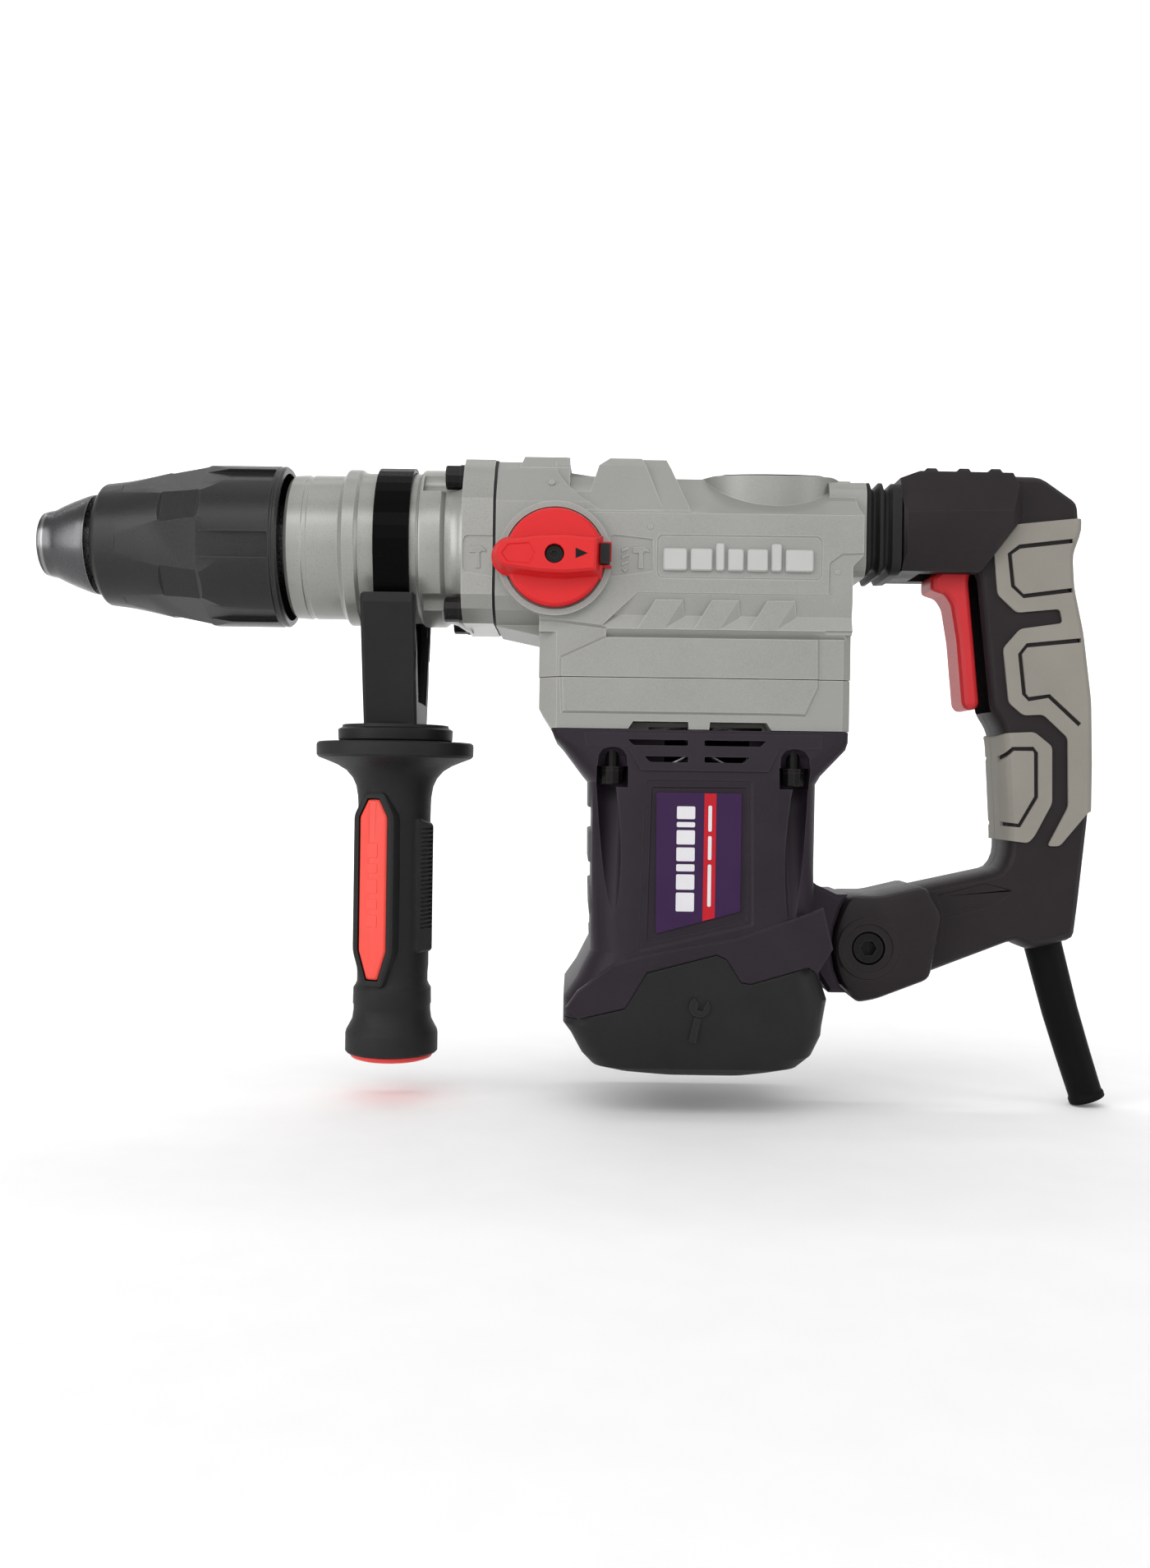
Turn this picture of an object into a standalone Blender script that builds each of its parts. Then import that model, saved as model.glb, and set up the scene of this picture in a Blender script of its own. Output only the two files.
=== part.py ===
"""Rotary hammer with a D handle, built as separate named pieces.

Frame: the motor axis is +Z, the base plane of the motor end is Z = 0, the chuck points to -X and
the hand grip lies at +X. All numbers below are millimetres.
"""

import math

import bmesh
import bpy
from mathutils import Vector

MM = 0.001

# Axes of the machine
SPINDLE_Z = 212.5
CRANK_X = 27.5
COUNTER_X = -32.5
KNOB = (-61.7, 202.5)
HANDLE_PIVOT = (68.5, 48.0)
TRIGGER_PIVOT = (106.0, 208.0)
SIDE_X = -129.1

# Gear train
SPUR_MODULE = 1.25
PINION_TEETH = 8
CRANK_TEETH = 36
COUNTER_TEETH = 44
BEVEL_MODULE = 2.25
BEVEL_PINION_TEETH = 12
BEVEL_GEAR_TEETH = 24
CRANK_THROW = 14.0
ROD_LENGTH = 50.0

# Percussion unit radii
TUBE_BORE = 15.2
TUBE_OUTER = 18.0
TOOL_BORE = 9.2

# Casing heights
BASE_TOP = 156.0
HOUSING_BOTTOM = 156.3
MOTOR_TOP = 135.5

# Colour, roughness and metallic of each kind of surface
LOOKS = {
    "cast": ((0.30, 0.30, 0.29), 0.45, 0.9),
    "steel": ((0.42, 0.42, 0.43), 0.3, 1.0),
    "dark_steel": ((0.12, 0.12, 0.13), 0.3, 1.0),
    "black": ((0.03, 0.028, 0.03), 0.5, 0.0),
    "grey_rubber": ((0.25, 0.235, 0.21), 0.75, 0.0),
    "rubber": ((0.02, 0.02, 0.02), 0.8, 0.0),
    "red": ((0.55, 0.02, 0.03), 0.4, 0.0),
    "copper": ((0.55, 0.2, 0.08), 0.4, 1.0),
    "carbon": ((0.02, 0.02, 0.02), 0.6, 0.2),
    "label": ((0.03, 0.01, 0.05), 0.35, 0.0),
}


# ---------------------------------------------------------------- building blocks


def clear_scene():
    for item in list(bpy.data.objects):
        bpy.data.objects.remove(item)


def surface(name, look):
    colour, roughness, metallic = LOOKS[look]
    made = bpy.data.materials.new(name)
    made.use_nodes = True
    shader = made.node_tree.nodes["Principled BSDF"]
    shader.inputs["Base Color"].default_value = (*colour, 1.0)
    shader.inputs["Roughness"].default_value = roughness
    shader.inputs["Metallic"].default_value = metallic
    return made


def solid(name, look, loops, ring=False):
    """A closed body: one loop of points after another, capped, or joined back to the first as a ring."""
    shape = bmesh.new()
    rows = [[shape.verts.new(Vector(p) * MM) for p in loop] for loop in loops]
    pairs = list(zip(rows, rows[1:]))
    if ring:
        pairs.append((rows[-1], rows[0]))
    for low, high in pairs:
        count = max(len(low), len(high))
        for i in range(count):
            j = (i + 1) % count
            quad = [low[i % len(low)], low[j % len(low)], high[j % len(high)], high[i % len(high)]]
            corners = list(dict.fromkeys(quad))
            if len(corners) > 2:
                shape.faces.new(corners)
    if not ring:
        for end in (rows[0], rows[-1]):
            if len(end) > 2:
                shape.faces.new(end)
    bmesh.ops.recalc_face_normals(shape, faces=shape.faces)
    mesh = bpy.data.meshes.new(name)
    shape.to_mesh(mesh)
    shape.free()
    body = bpy.data.objects.new(name, mesh)
    bpy.context.scene.collection.objects.link(body)
    if look:
        mesh.materials.append(surface(name, look))
    return body


def place(axis, u, v, along):
    """The point at (u, v) in the plane across an axis, at a distance along it."""
    return {"X": (along, u, v), "Y": (u, along, v), "Z": (u, v, along)}[axis]


def circle(axis, centre, along, radius, steps, turn=0.0):
    if radius == 0:
        return [place(axis, centre[0], centre[1], along)]
    angles = [2 * math.pi * i / steps + turn for i in range(steps)]
    return [
        place(axis, centre[0] + radius * math.cos(t), centre[1] + radius * math.sin(t), along)
        for t in angles
    ]


def turned(name, look, axis, centre, profile, steps=32, ring=False):
    """A turned body from (along, radius) points; a ring profile is a closed loop clear of the axis."""
    if not ring:
        profile = [(a, r) for a, r in profile if r > 0]
    return solid(name, look, [circle(axis, centre, a, r, steps) for a, r in profile], ring)


def rod(name, look, axis, centre, low, high, radius, steps=28, bevel=0.0):
    profile = [(low, 0), (low, radius - bevel), (low + bevel, radius)]
    profile += [(high - bevel, radius), (high, radius - bevel), (high, 0)]
    if not bevel:
        profile = [(low, 0), (low, radius), (high, radius), (high, 0)]
    return turned(name, look, axis, centre, profile, steps)


def pipe(name, look, axis, centre, low, high, inner, outer, steps=32, bevel=0.0):
    profile = [(low, inner), (low, outer - bevel), (low + bevel, outer)]
    profile += [(high - bevel, outer), (high, outer - bevel), (high, inner)]
    if not bevel:
        profile = [(low, inner), (low, outer), (high, outer), (high, inner)]
    return turned(name, look, axis, centre, profile, steps, ring=True)


def area(outline):
    pairs = zip(outline, outline[1:] + outline[:1])
    return sum(a[0] * b[1] - b[0] * a[1] for a, b in pairs) / 2


def inset(outline, depth):
    """The outline moved inwards by a depth, or outwards by a negative one."""
    if not depth:
        return list(outline)
    side = 1 if area(outline) > 0 else -1
    moved = []
    for i, here in enumerate(outline):
        before, after = Vector(outline[i - 1]), Vector(outline[(i + 1) % len(outline)])
        here = Vector(here)
        first, second = (here - before).normalized(), (after - here).normalized()
        n1 = Vector((-first.y, first.x)) * side
        n2 = Vector((-second.y, second.x)) * side
        both = n1 + n2
        moved.append(tuple(here + both * (depth / max(0.35, n1.dot(both)))))
    return moved


def slab(name, look, axis, outline, levels):
    """A plate: the outline at each (distance along the axis, inset) level."""
    loops = [[place(axis, u, v, along) for u, v in inset(outline, depth)] for along, depth in levels]
    return solid(name, look, loops)


def plate(name, look, axis, outline, low, high, edge=0.0):
    levels = [(low, edge), (low + edge, 0), (high - edge, 0), (high, edge)] if edge else [(low, 0), (high, 0)]
    return slab(name, look, axis, outline, levels)


def box(name, look, x, y, z):
    return plate(name, look, "Z", [(x[0], y[0]), (x[1], y[0]), (x[1], y[1]), (x[0], y[1])], z[0], z[1])


def rounded(x, y, radius, steps=5):
    """A rectangle with round corners, as points in its plane."""
    points = []
    corners = [(x[1] - radius, y[1] - radius, 0), (x[0] + radius, y[1] - radius, 1)]
    corners += [(x[0] + radius, y[0] + radius, 2), (x[1] - radius, y[0] + radius, 3)]
    for cx, cy, quarter in corners:
        for i in range(steps + 1):
            t = (quarter + i / steps) * math.pi / 2
            points.append((cx + radius * math.cos(t), cy + radius * math.sin(t)))
    return points


def arc(centre, radius, start, end, steps):
    angles = [math.radians(start + (end - start) * i / steps) for i in range(steps + 1)]
    return [(centre[0] + radius * math.cos(t), centre[1] + radius * math.sin(t)) for t in angles]


def combine(body, tools, operation):
    for tool in tools:
        step = body.modifiers.new(operation, "BOOLEAN")
        step.operation, step.solver, step.object = operation, "EXACT", tool
        graph = bpy.context.evaluated_depsgraph_get()
        mesh = bpy.data.meshes.new_from_object(body.evaluated_get(graph))
        body.modifiers.clear()
        body.data = mesh
        bpy.data.objects.remove(tool)
    return body


def cut(body, *tools):
    return combine(body, tools, "DIFFERENCE")


def join(body, *tools):
    return combine(body, tools, "UNION")


def bearing(name, axis, centre, low, high, inner, outer, steps=20):
    """A ball bearing as one ring, with the gap between its races as a groove in both faces."""
    middle = (inner + outer) / 2
    profile = [(low, inner), (low + 1.2, middle), (low, outer)]
    profile += [(high, outer), (high - 1.2, middle), (high, inner)]
    return turned(name, "steel", axis, centre, profile, steps, ring=True)


def cap_screw(name, axis, centre, under, way, length, radius, head, head_length):
    """A socket screw with its spring washer: the washer's seat at under, the head on the side of way."""
    washer = radius + 2.3
    profile = [(under - way * length, radius), (under, radius), (under, washer)]
    profile += [(under + way * 1.6, washer), (under + way * 1.6, head)]
    top = under + way * (1.6 + head_length)
    profile += [(top - way * 0.5, head), (top, head - 0.5)]
    screw = turned(name, "dark_steel", axis, centre, profile, 12)
    socket = circle(axis, centre, top + way * 1, head * 0.5, 6)
    floor = circle(axis, centre, top - way * head_length * 0.55, head * 0.5, 6)
    return cut(screw, solid("socket", None, [socket, floor]))


# ---------------------------------------------------------------- gears


def involute(angle):
    return math.tan(angle) - angle


def tooth_side(teeth, module, slack, steps):
    """(radius, half angle) points of one tooth flank from root to tip, 25 degree involute, stub tooth."""
    pressure = math.radians(25)
    pitch = teeth * module / 2
    base, root, tip = pitch * math.cos(pressure), pitch - 0.9 * module, pitch + 0.7 * module
    half = math.pi / (2 * teeth) - slack / (2 * pitch) + involute(pressure)
    start = max(base, root)
    side = []
    for i in range(steps + 1):
        radius = start + (tip - start) * i / steps
        side.append((radius, half - involute(math.acos(min(1.0, base / radius)))))
    if root < base - 0.05:
        side.insert(0, (root, side[0][1]))
    return side


def spur_outline(teeth, module, first_tooth, slack=0.2, steps=2):
    """The gear's outline about its own centre, one tooth standing at the angle first_tooth."""
    side = tooth_side(teeth, module, slack, steps)
    points = []
    for tooth in range(teeth):
        centre = first_tooth + 2 * math.pi * tooth / teeth
        points += [(r, centre - a) for r, a in side]
        points += [(r, centre + a) for r, a in reversed(side)]
    return [(r * math.cos(t), r * math.sin(t)) for r, t in points]


def shifted(outline, x, y=0.0):
    return [(u + x, v + y) for u, v in outline]


def bevel_points(teeth, mate_teeth, first_tooth, scale, slack=0.3):
    """(radius, angle, depth below the apex) points of a straight bevel gear's outline, on its back cone."""
    radius, mate = teeth * BEVEL_MODULE / 2, mate_teeth * BEVEL_MODULE / 2
    cone = math.atan2(radius, mate)
    virtual = teeth / math.cos(cone)
    pitch = virtual * BEVEL_MODULE / 2
    side = [(r - pitch, a / math.cos(cone)) for r, a in tooth_side(virtual, BEVEL_MODULE, slack, 1)]
    points = []
    for tooth in range(teeth):
        centre = first_tooth + 2 * math.pi * tooth / teeth
        row = [(h, centre - a) for h, a in side] + [(h, centre + a) for h, a in reversed(side)]
        for h, angle in row:
            points.append(
                ((radius + h * math.cos(cone)) * scale, angle, (mate - h * math.sin(cone)) * scale)
            )
    return points


# ---------------------------------------------------------------- chuck and spindle


def build_chuck():
    axis = (0.0, SPINDLE_Z)
    nose = [(-278.8, 9.6), (-278.8, 12.0), (-273.1, 14.2), (-268.9, 16.5)]
    nose += [(-264.7, 18.2), (-256.4, 21.0), (-256.4, 13.8), (-277.1, 13.8), (-277.1, 9.6)]
    turned("nose_cap", "steel", "X", axis, nose, 28, ring=True)

    holder = [(-276.8, TOOL_BORE), (-276.8, 13.5), (-200.0, 13.5), (-200.0, 18.0), (-118.6, 18.0)]
    holder += [(-118.6, 13.4), (-184.0, 13.4), (-184.0, TOOL_BORE)]
    holder = turned("tool_holder", "steel", "X", axis, holder, 32, ring=True)
    window = box("window", None, (-238.5, -223.5), (-16, 16), (SPINDLE_Z - 4.3, SPINDLE_Z + 4.3))
    cut(holder, window)

    for name, way in (("lock_segment_front", -1), ("lock_segment_back", 1)):
        wedge = [(-238.0, 7.6 * way), (-224.0, 7.6 * way), (-224.0, 13.4 * way), (-238.0, 16.2 * way)]
        plate(name, "steel", "Z", wedge, SPINDLE_Z - 4, SPINDLE_Z + 4)

    cone = [(-240.0, 17.5), (-240.0, 21.0), (-222.0, 21.0), (-222.0, 13.9)]
    turned("lock_ring", "dark_steel", "X", axis, cone, 32, ring=True)

    sleeve = [(-254.9, 22.0), (-252.1, 25.4), (-244.0, 26.5), (-235.2, 27.6)]
    sleeve += [(-226.5, 29.4), (-218.5, 31.4), (-210.0, 33.6), (-205.5, 33.8), (-176.5, 33.8)]
    sleeve += [(-174.5, 32.8), (-174.5, 30.9), (-188.0, 30.9), (-191.0, 21.3), (-254.9, 21.3)]
    turned("chuck_sleeve", "black", "X", axis, sleeve, 32, ring=True)

    coil("chuck_spring", "X", axis, -220.8, -201.3, 15.8, 1.0, 4, 10)


def coil(name, axis, centre, low, high, radius, wire, turns, per_turn):
    """A closed coil spring whose wire's centre runs from low to high."""
    count = int(turns * per_turn)
    pitch = (high - low) / (2 * math.pi * turns)
    loops = []
    for i in range(count + 1):
        t = 2 * math.pi * turns * i / count
        along = low + (high - low) * i / count
        loop = []
        for k in range(5):
            w = 2 * math.pi * k / 5
            out, lift = wire * math.cos(w), wire * math.sin(w)
            r, spin = radius + out, t - lift * pitch / (radius * radius)
            u, v = centre[0] + r * math.cos(spin), centre[1] + r * math.sin(spin)
            loop.append(place(axis, u, v, along + lift))
        loops.append(loop)
    return solid(name, "steel", loops)


def build_spindle():
    axis = (0.0, SPINDLE_Z)
    tube = [(-158.0, 18.3), (-158.0, 22.0), (-120.0, 22.0), (-118.0, TUBE_OUTER), (-4.0, TUBE_OUTER)]
    tube += [(-4.0, TUBE_BORE), (-118.3, TUBE_BORE), (-118.3, 18.3)]
    tube = turned("hammer_tube", "steel", "X", axis, tube, 32, ring=True)
    vents = [rod("vent", None, "Z", (-58.0, 0.0), 180, 245, 1.6, 12)]
    cut(tube, *vents)

    gear = []
    apex = COUNTER_X
    wide = bevel_points(BEVEL_GEAR_TEETH, BEVEL_PINION_TEETH, -math.pi / 2, 1.0)
    narrow = bevel_points(BEVEL_GEAR_TEETH, BEVEL_PINION_TEETH, -math.pi / 2, 0.735)

    def ring_loop(points):
        return [place("X", r * math.cos(t), SPINDLE_Z + r * math.sin(t), apex - d) for r, t, d in points]

    def flat_loop(radius, x):
        return ring_loop([(radius, t, apex - x) for _, t, _ in wide])

    gear = [flat_loop(18.3, -50.3), ring_loop(wide), ring_loop(narrow)]
    gear.append(flat_loop(18.3, -43.9))
    solid("bevel_gear", "steel", gear, ring=True)

    ring = [(-71.5, 18.3), (-71.5, 26.0), (-69.3, 26.0), (-69.3, 21.5), (-62.1, 21.5), (-62.1, 26.0)]
    ring += [(-59.5, 26.0), (-59.5, 18.3)]
    turned("mode_ring", "dark_steel", "X", axis, ring, 28, ring=True)


def build_percussion():
    axis = (0.0, SPINDLE_Z)
    bolt = [(-206.0, 0), (-206.0, 7.6), (-204.8, 8.8), (-178.5, 8.8), (-176.0, 13.0), (-160.0, 13.0)]
    bolt += [(-157.5, 8.8), (-114.0, 8.8), (-113.0, 7.8), (-113.0, 0)]
    turned("impact_bolt", "steel", "X", axis, bolt, 28)

    ram = [(-108.0, 0), (-108.0, 11.0), (-100.0, 11.0), (-97.0, 15.0), (-75.0, 15.0), (-74.0, 14.0)]
    ram.append((-74.0, 0))
    turned("striker", "steel", "X", axis, ram, 32)

    wrist = CRANK_X + CRANK_THROW - ROD_LENGTH
    body = [(-22.5, 0), (-22.5, 14.2), (-21.7, 15.05), (-0.5, 15.05), (-0.5, 0)]
    piston = turned("piston", "cast", "X", axis, body, 32)
    cut(piston, box("slot", None, (-16.6, 2), (-10.6, 10.6), (SPINDLE_Z - 5.3, SPINDLE_Z + 5.3)))
    join(piston, rod("pin", None, "Z", (wrist, 0), SPINDLE_Z - 8, SPINDLE_Z + 8, 3.5, 20))

    crank_end = wrist + ROD_LENGTH
    outline = arc((wrist, 0), 7.5, 34, 326, 12) + arc((crank_end, 0), 9.5, -154, 154, 14)
    link = plate("connecting_rod", "cast", "Z", outline, SPINDLE_Z - 5, SPINDLE_Z + 5)
    eye = rod("eye", None, "Z", (wrist, 0), SPINDLE_Z - 9, SPINDLE_Z + 9, 3.8, 20)
    big_eye = rod("big_eye", None, "Z", (crank_end, 0), SPINDLE_Z - 9, SPINDLE_Z + 9, 5.3, 18)
    cut(link, eye, big_eye)


def build_gear_train():
    journal = [(140.8, 0), (140.8, 6.0), (189.0, 6.0), (190.5, 21.0), (204.0, 21.0), (204.0, 0)]
    crank = turned("crankshaft", "steel", "Z", (CRANK_X, 0), journal, 28)
    teeth = spur_outline(CRANK_TEETH, SPUR_MODULE, math.pi + math.pi / CRANK_TEETH, steps=1)
    join(crank, plate("teeth", None, "Z", shifted(teeth, CRANK_X), 158.0, 169.0))
    pin = rod("pin", None, "Z", (CRANK_X + CRANK_THROW, 0), 200.0, SPINDLE_Z - 5.5, 5.0, 24)
    join(crank, pin)

    shaft = [(143.3, 0), (143.3, 5.0), (184.0, 5.0), (184.0, 0)]
    shaft = turned("bevel_countershaft", "steel", "Z", (COUNTER_X, 0), shaft, 20)
    teeth = spur_outline(COUNTER_TEETH, SPUR_MODULE, math.pi / COUNTER_TEETH, steps=1)
    join(shaft, plate("teeth", None, "Z", shifted(teeth, COUNTER_X), 158.0, 168.0))
    first = math.pi + math.pi / BEVEL_PINION_TEETH
    loops = []
    for scale in (1.0, 0.735):
        points = bevel_points(BEVEL_PINION_TEETH, BEVEL_GEAR_TEETH, first, scale)
        loops.append(
            [(COUNTER_X + r * math.cos(t), r * math.sin(t), SPINDLE_Z - d) for r, t, d in points]
        )
    back = [(COUNTER_X + 9.5 * math.cos(t), 9.5 * math.sin(t), 181.8) for _, t, _ in points]
    front = [(COUNTER_X + 6.0 * math.cos(t), 6.0 * math.sin(t), 191.6) for _, t, _ in points]
    join(shaft, solid("bevel", None, [back, *loops, front]))

    rotor = [(12.8, 0), (12.8, 4.0), (21.5, 4.0), (21.5, 12.0), (36.5, 12.0), (38.0, 8.0), (46.0, 8.0)]
    rotor += [(48.0, 23.6), (102.0, 23.6), (104.0, 8.0), (112.0, 8.0), (113.0, 34.0), (116.0, 36.0)]
    rotor += [(121.0, 36.0), (122.0, 14.0), (126.0, 6.0), (157.6, 6.0), (157.6, 0)]
    armature = turned("armature", "steel", "Z", (0, 0), rotor, 28)
    teeth = spur_outline(PINION_TEETH, SPUR_MODULE, 0.0)
    join(armature, plate("teeth", None, "Z", teeth, 156.6, 170.4))


# ---------------------------------------------------------------- casings


def casing_section(top, side, bottom, foot=None):
    """Half-octagon across the spindle: flat top, two facets a side, straight flanks."""
    foot = foot if foot is not None else side
    right = [(22, top), (30, top - 5.3), (37, top - 12.8), (side, top - 20.2), (side, bottom + 9)]
    right += [(foot, bottom)]
    return right + [(-y, z) for y, z in reversed(right)]


def stations(name, look, sections):
    return solid(name, look, [[(x, y, z) for y, z in section] for x, section in sections])


def flange_bolts():
    return [(-24.0, 238.2), (24.0, 238.2), (-24.0, 184.2), (24.0, 184.2)]


def build_front():
    axis = (0.0, SPINDLE_Z)
    neck = [(-172.5, 0), (-172.5, 29.2), (-171.0, 30.2), (-150.0, 30.2), (-149.0, 32.8), (-143.0, 32.8)]
    neck += [(-142.0, 31.5), (-118.0, 31.5), (-117.0, 33.0), (-108.0, 33.0), (-106.5, 31.5)]
    neck += [(-100.0, 34.0), (-97.0, 34.0), (-97.0, 0)]
    barrel = turned("front_barrel", "cast", "X", axis, neck, 28)
    section = casing_section(245.9, 41, 175.4, 28)
    join(barrel, stations("flange", None, [(-99.0, section), (-86.6, section)]))
    bore = [(-175, 0), (-175, 19.0), (-163, 19.0), (-163, 25.0), (-149, 25.0), (-149, 28.3), (-85, 28.3)]
    cut(barrel, turned("bore", None, "X", axis, [*bore, (-85, 0)], 28))
    for spot in flange_bolts():
        cut(barrel, rod("pocket", None, "X", spot, -116, -98.9, 6.4, 12))
        cut(barrel, rod("hole", None, "X", spot, -102, -85, 3.3, 12))

    gasket = stations("front_gasket", "rubber", [(-86.3, section), (-85.7, section)])
    cut(gasket, rod("bore", None, "X", axis, -90, -80, 28.5, 24))
    for spot in flange_bolts():
        cut(gasket, rod("hole", None, "X", spot, -90, -80, 3.3, 8))
    for index, spot in enumerate(flange_bolts(), 1):
        cap_screw(f"flange_bolt_{index}", "X", spot, -99.2, -1, 26.0, 3.0, 5.0, 6.0)
    bearing("spindle_bearing", "X", axis, -148.7, -137.0, 22.3, 28.0, 28)


def build_gear_housing():
    axis = (0.0, SPINDLE_Z)
    low = HOUSING_BOTTOM
    front = casing_section(246.2, 41, 172.0, 28)
    body = stations("gear_housing", "cast", [(-85.4, front), (-62.0, front)])
    high_part, low_part = casing_section(246.2, 43, low), casing_section(240.3, 43, low)
    main = [(-67.6, high_part), (-14.5, high_part), (-10.5, low_part), (56.6, low_part)]
    join(body, stations("main", None, main))
    boss = rounded((-24, 24), (199.2, 238.8), 6, 3)
    join(body, plate("rear_boss", None, "X", boss, 50.0, 65.3))
    for x in ((-74.2, -59.1), (-40.1, -15.0)):
        rib = [(x[0], 240.0), (x[0] + 2.4, 248.2), (x[1] - 2.0, 248.2), (x[1], 240.0)]
        join(body, plate("rib", None, "Y", rib, -21.0, 21.0, 1.5))
    join(body, rod("crank_boss", None, "Z", (CRANK_X, 0), 222.0, 241.0, 31.0, 36, 1.0))
    join(body, rod("knob_boss", None, "Y", KNOB, -44.2, -38.0, 22.6, 32))

    room = [(17, 241.6), (26, 236.4), (33, 229), (36, 222), (36, 181.2)]
    room += [(-y, z) for y, z in reversed(room)]
    rear = [(17, 235.4), (26, 231.6), (33, 226), (36, 219), (36, 181.2)]
    rear += [(-y, z) for y, z in reversed(rear)]
    cut(body, stations("room", None, [(-73.0, room), (-36.0, room), (-30.0, rear), (52.0, rear)]))
    cut(body, box("gear_room", None, (-63.2, 52.3), (-37.6, 37.6), (150.0, 171.0)))
    cut(
        body,
        rod("mouth", None, "X", axis, -90, -70, 23.0, 32),
        rod("crank_seat", None, "Z", (CRANK_X, 0), 165, 185, 14.3, 24),
        rod("counter_seat", None, "Z", (COUNTER_X, 0), 165, 185, 11.3, 24),
        rod("cap_hole", None, "Z", (CRANK_X, 0), 230, 245, 24.3, 36),
        rod("cap_seat", None, "Z", (CRANK_X, 0), 238.0, 245, 27.9, 36),
        rod("selector_hole", None, "Y", KNOB, -50, -30, 6.3, 24),
    )
    for spot in flange_bolts():
        cut(body, rod("hole", None, "X", spot, -90, -72.4, 3.3, 12))

    lid = [(234.5, 0), (234.5, 24.0), (238.3, 24.0), (238.3, 27.6), (241.2, 27.6), (241.7, 27.1), (241.7, 0)]
    turned("crank_cap", "black", "Z", (CRANK_X, 0), lid, 32)
    bearing("crank_bearing", "Z", (CRANK_X, 0), 171.5, 180.5, 6.3, 14.0)
    bearing("countershaft_bearing", "Z", (COUNTER_X, 0), 171.5, 180.5, 5.3, 11.0)


def housing_screws():
    return [(-37.8, -38.8), (34.2, -38.8), (-37.8, 38.8), (34.2, 38.8)]


def build_gear_base():
    loops = []
    for z, left in ((135.8, -62.4), (143.5, -67.4), (BASE_TOP, -67.4)):
        loops.append([(x, y, z) for x, y in rounded((left, 56.4), (-43.0, 43.0), 4, 3)])
    base = solid("gear_base", "cast", loops)
    cut(
        base,
        rod("fan_room", None, "Z", (0, 0), 130, 137.2, 37.0, 28),
        rod("motor_seat", None, "Z", (0, 0), 130, 149.3, 14.3, 24),
        rod("motor_hole", None, "Z", (0, 0), 140, 160, 6.6, 20),
        rod("crank_foot", None, "Z", (CRANK_X, 0), 140.5, 160, 6.3, 20),
        rod("counter_foot", None, "Z", (COUNTER_X, 0), 143.0, 160, 5.3, 20),
    )
    for spot in housing_screws():
        cut(base, rod("hole", None, "Z", spot, 130, 150, 2.8, 10))
    bearing("motor_bearing_top", "Z", (0, 0), 137.5, 149.0, 6.3, 14.0)


def motor_solid(name, look):
    rows = [
        (0.0, -38.0, 26.0, 40.0, 12),
        (2.5, -46.5, 40.0, 44.5, 14),
        (14.0, -53.5, 47.7, 46.5, 16),
        (20.0, -56.0, 48.2, 47.0, 16),
        (28.6, -56.0, 50.0, 47.0, 18),
        (47.0, -45.5, 46.0, 47.0, 20),
        (75.0, -46.6, 44.6, 47.0, 20),
        (115.0, -47.2, 44.6, 47.0, 20),
        (118.0, -50.0, 46.0, 46.0, 16),
        (128.5, -58.0, 56.0, 44.0, 10),
        (131.5, -61.0, 56.2, 43.4, 8),
        (MOTOR_TOP, -62.4, 56.2, 43.0, 6),
    ]
    loops = []
    for z, x0, x1, half, radius in rows:
        loops.append([(x, y, z) for x, y in rounded((x0, x1), (-half, half), radius, 3)])
    return solid(name, look, loops)


SEAM = [(-75, -8), (-75, 20.4), (-51.6, 20.4), (-31.6, 25.1), (-23.2, 39.3), (4.3, 46.8), (8.2, 45.0)]
SEAM += [(14.0, 36.0), (17.8, 35.4), (40.2, 42.1), (44.0, 39.7), (50.2, 28.9), (75, 28.9), (75, -8)]


def motor_shell(name, look):
    shell = motor_solid(name, look)
    cut(shell, rod("motor_room", None, "Z", (0, 0), 8.0, 140, 41.0, 32))
    return shell


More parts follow.
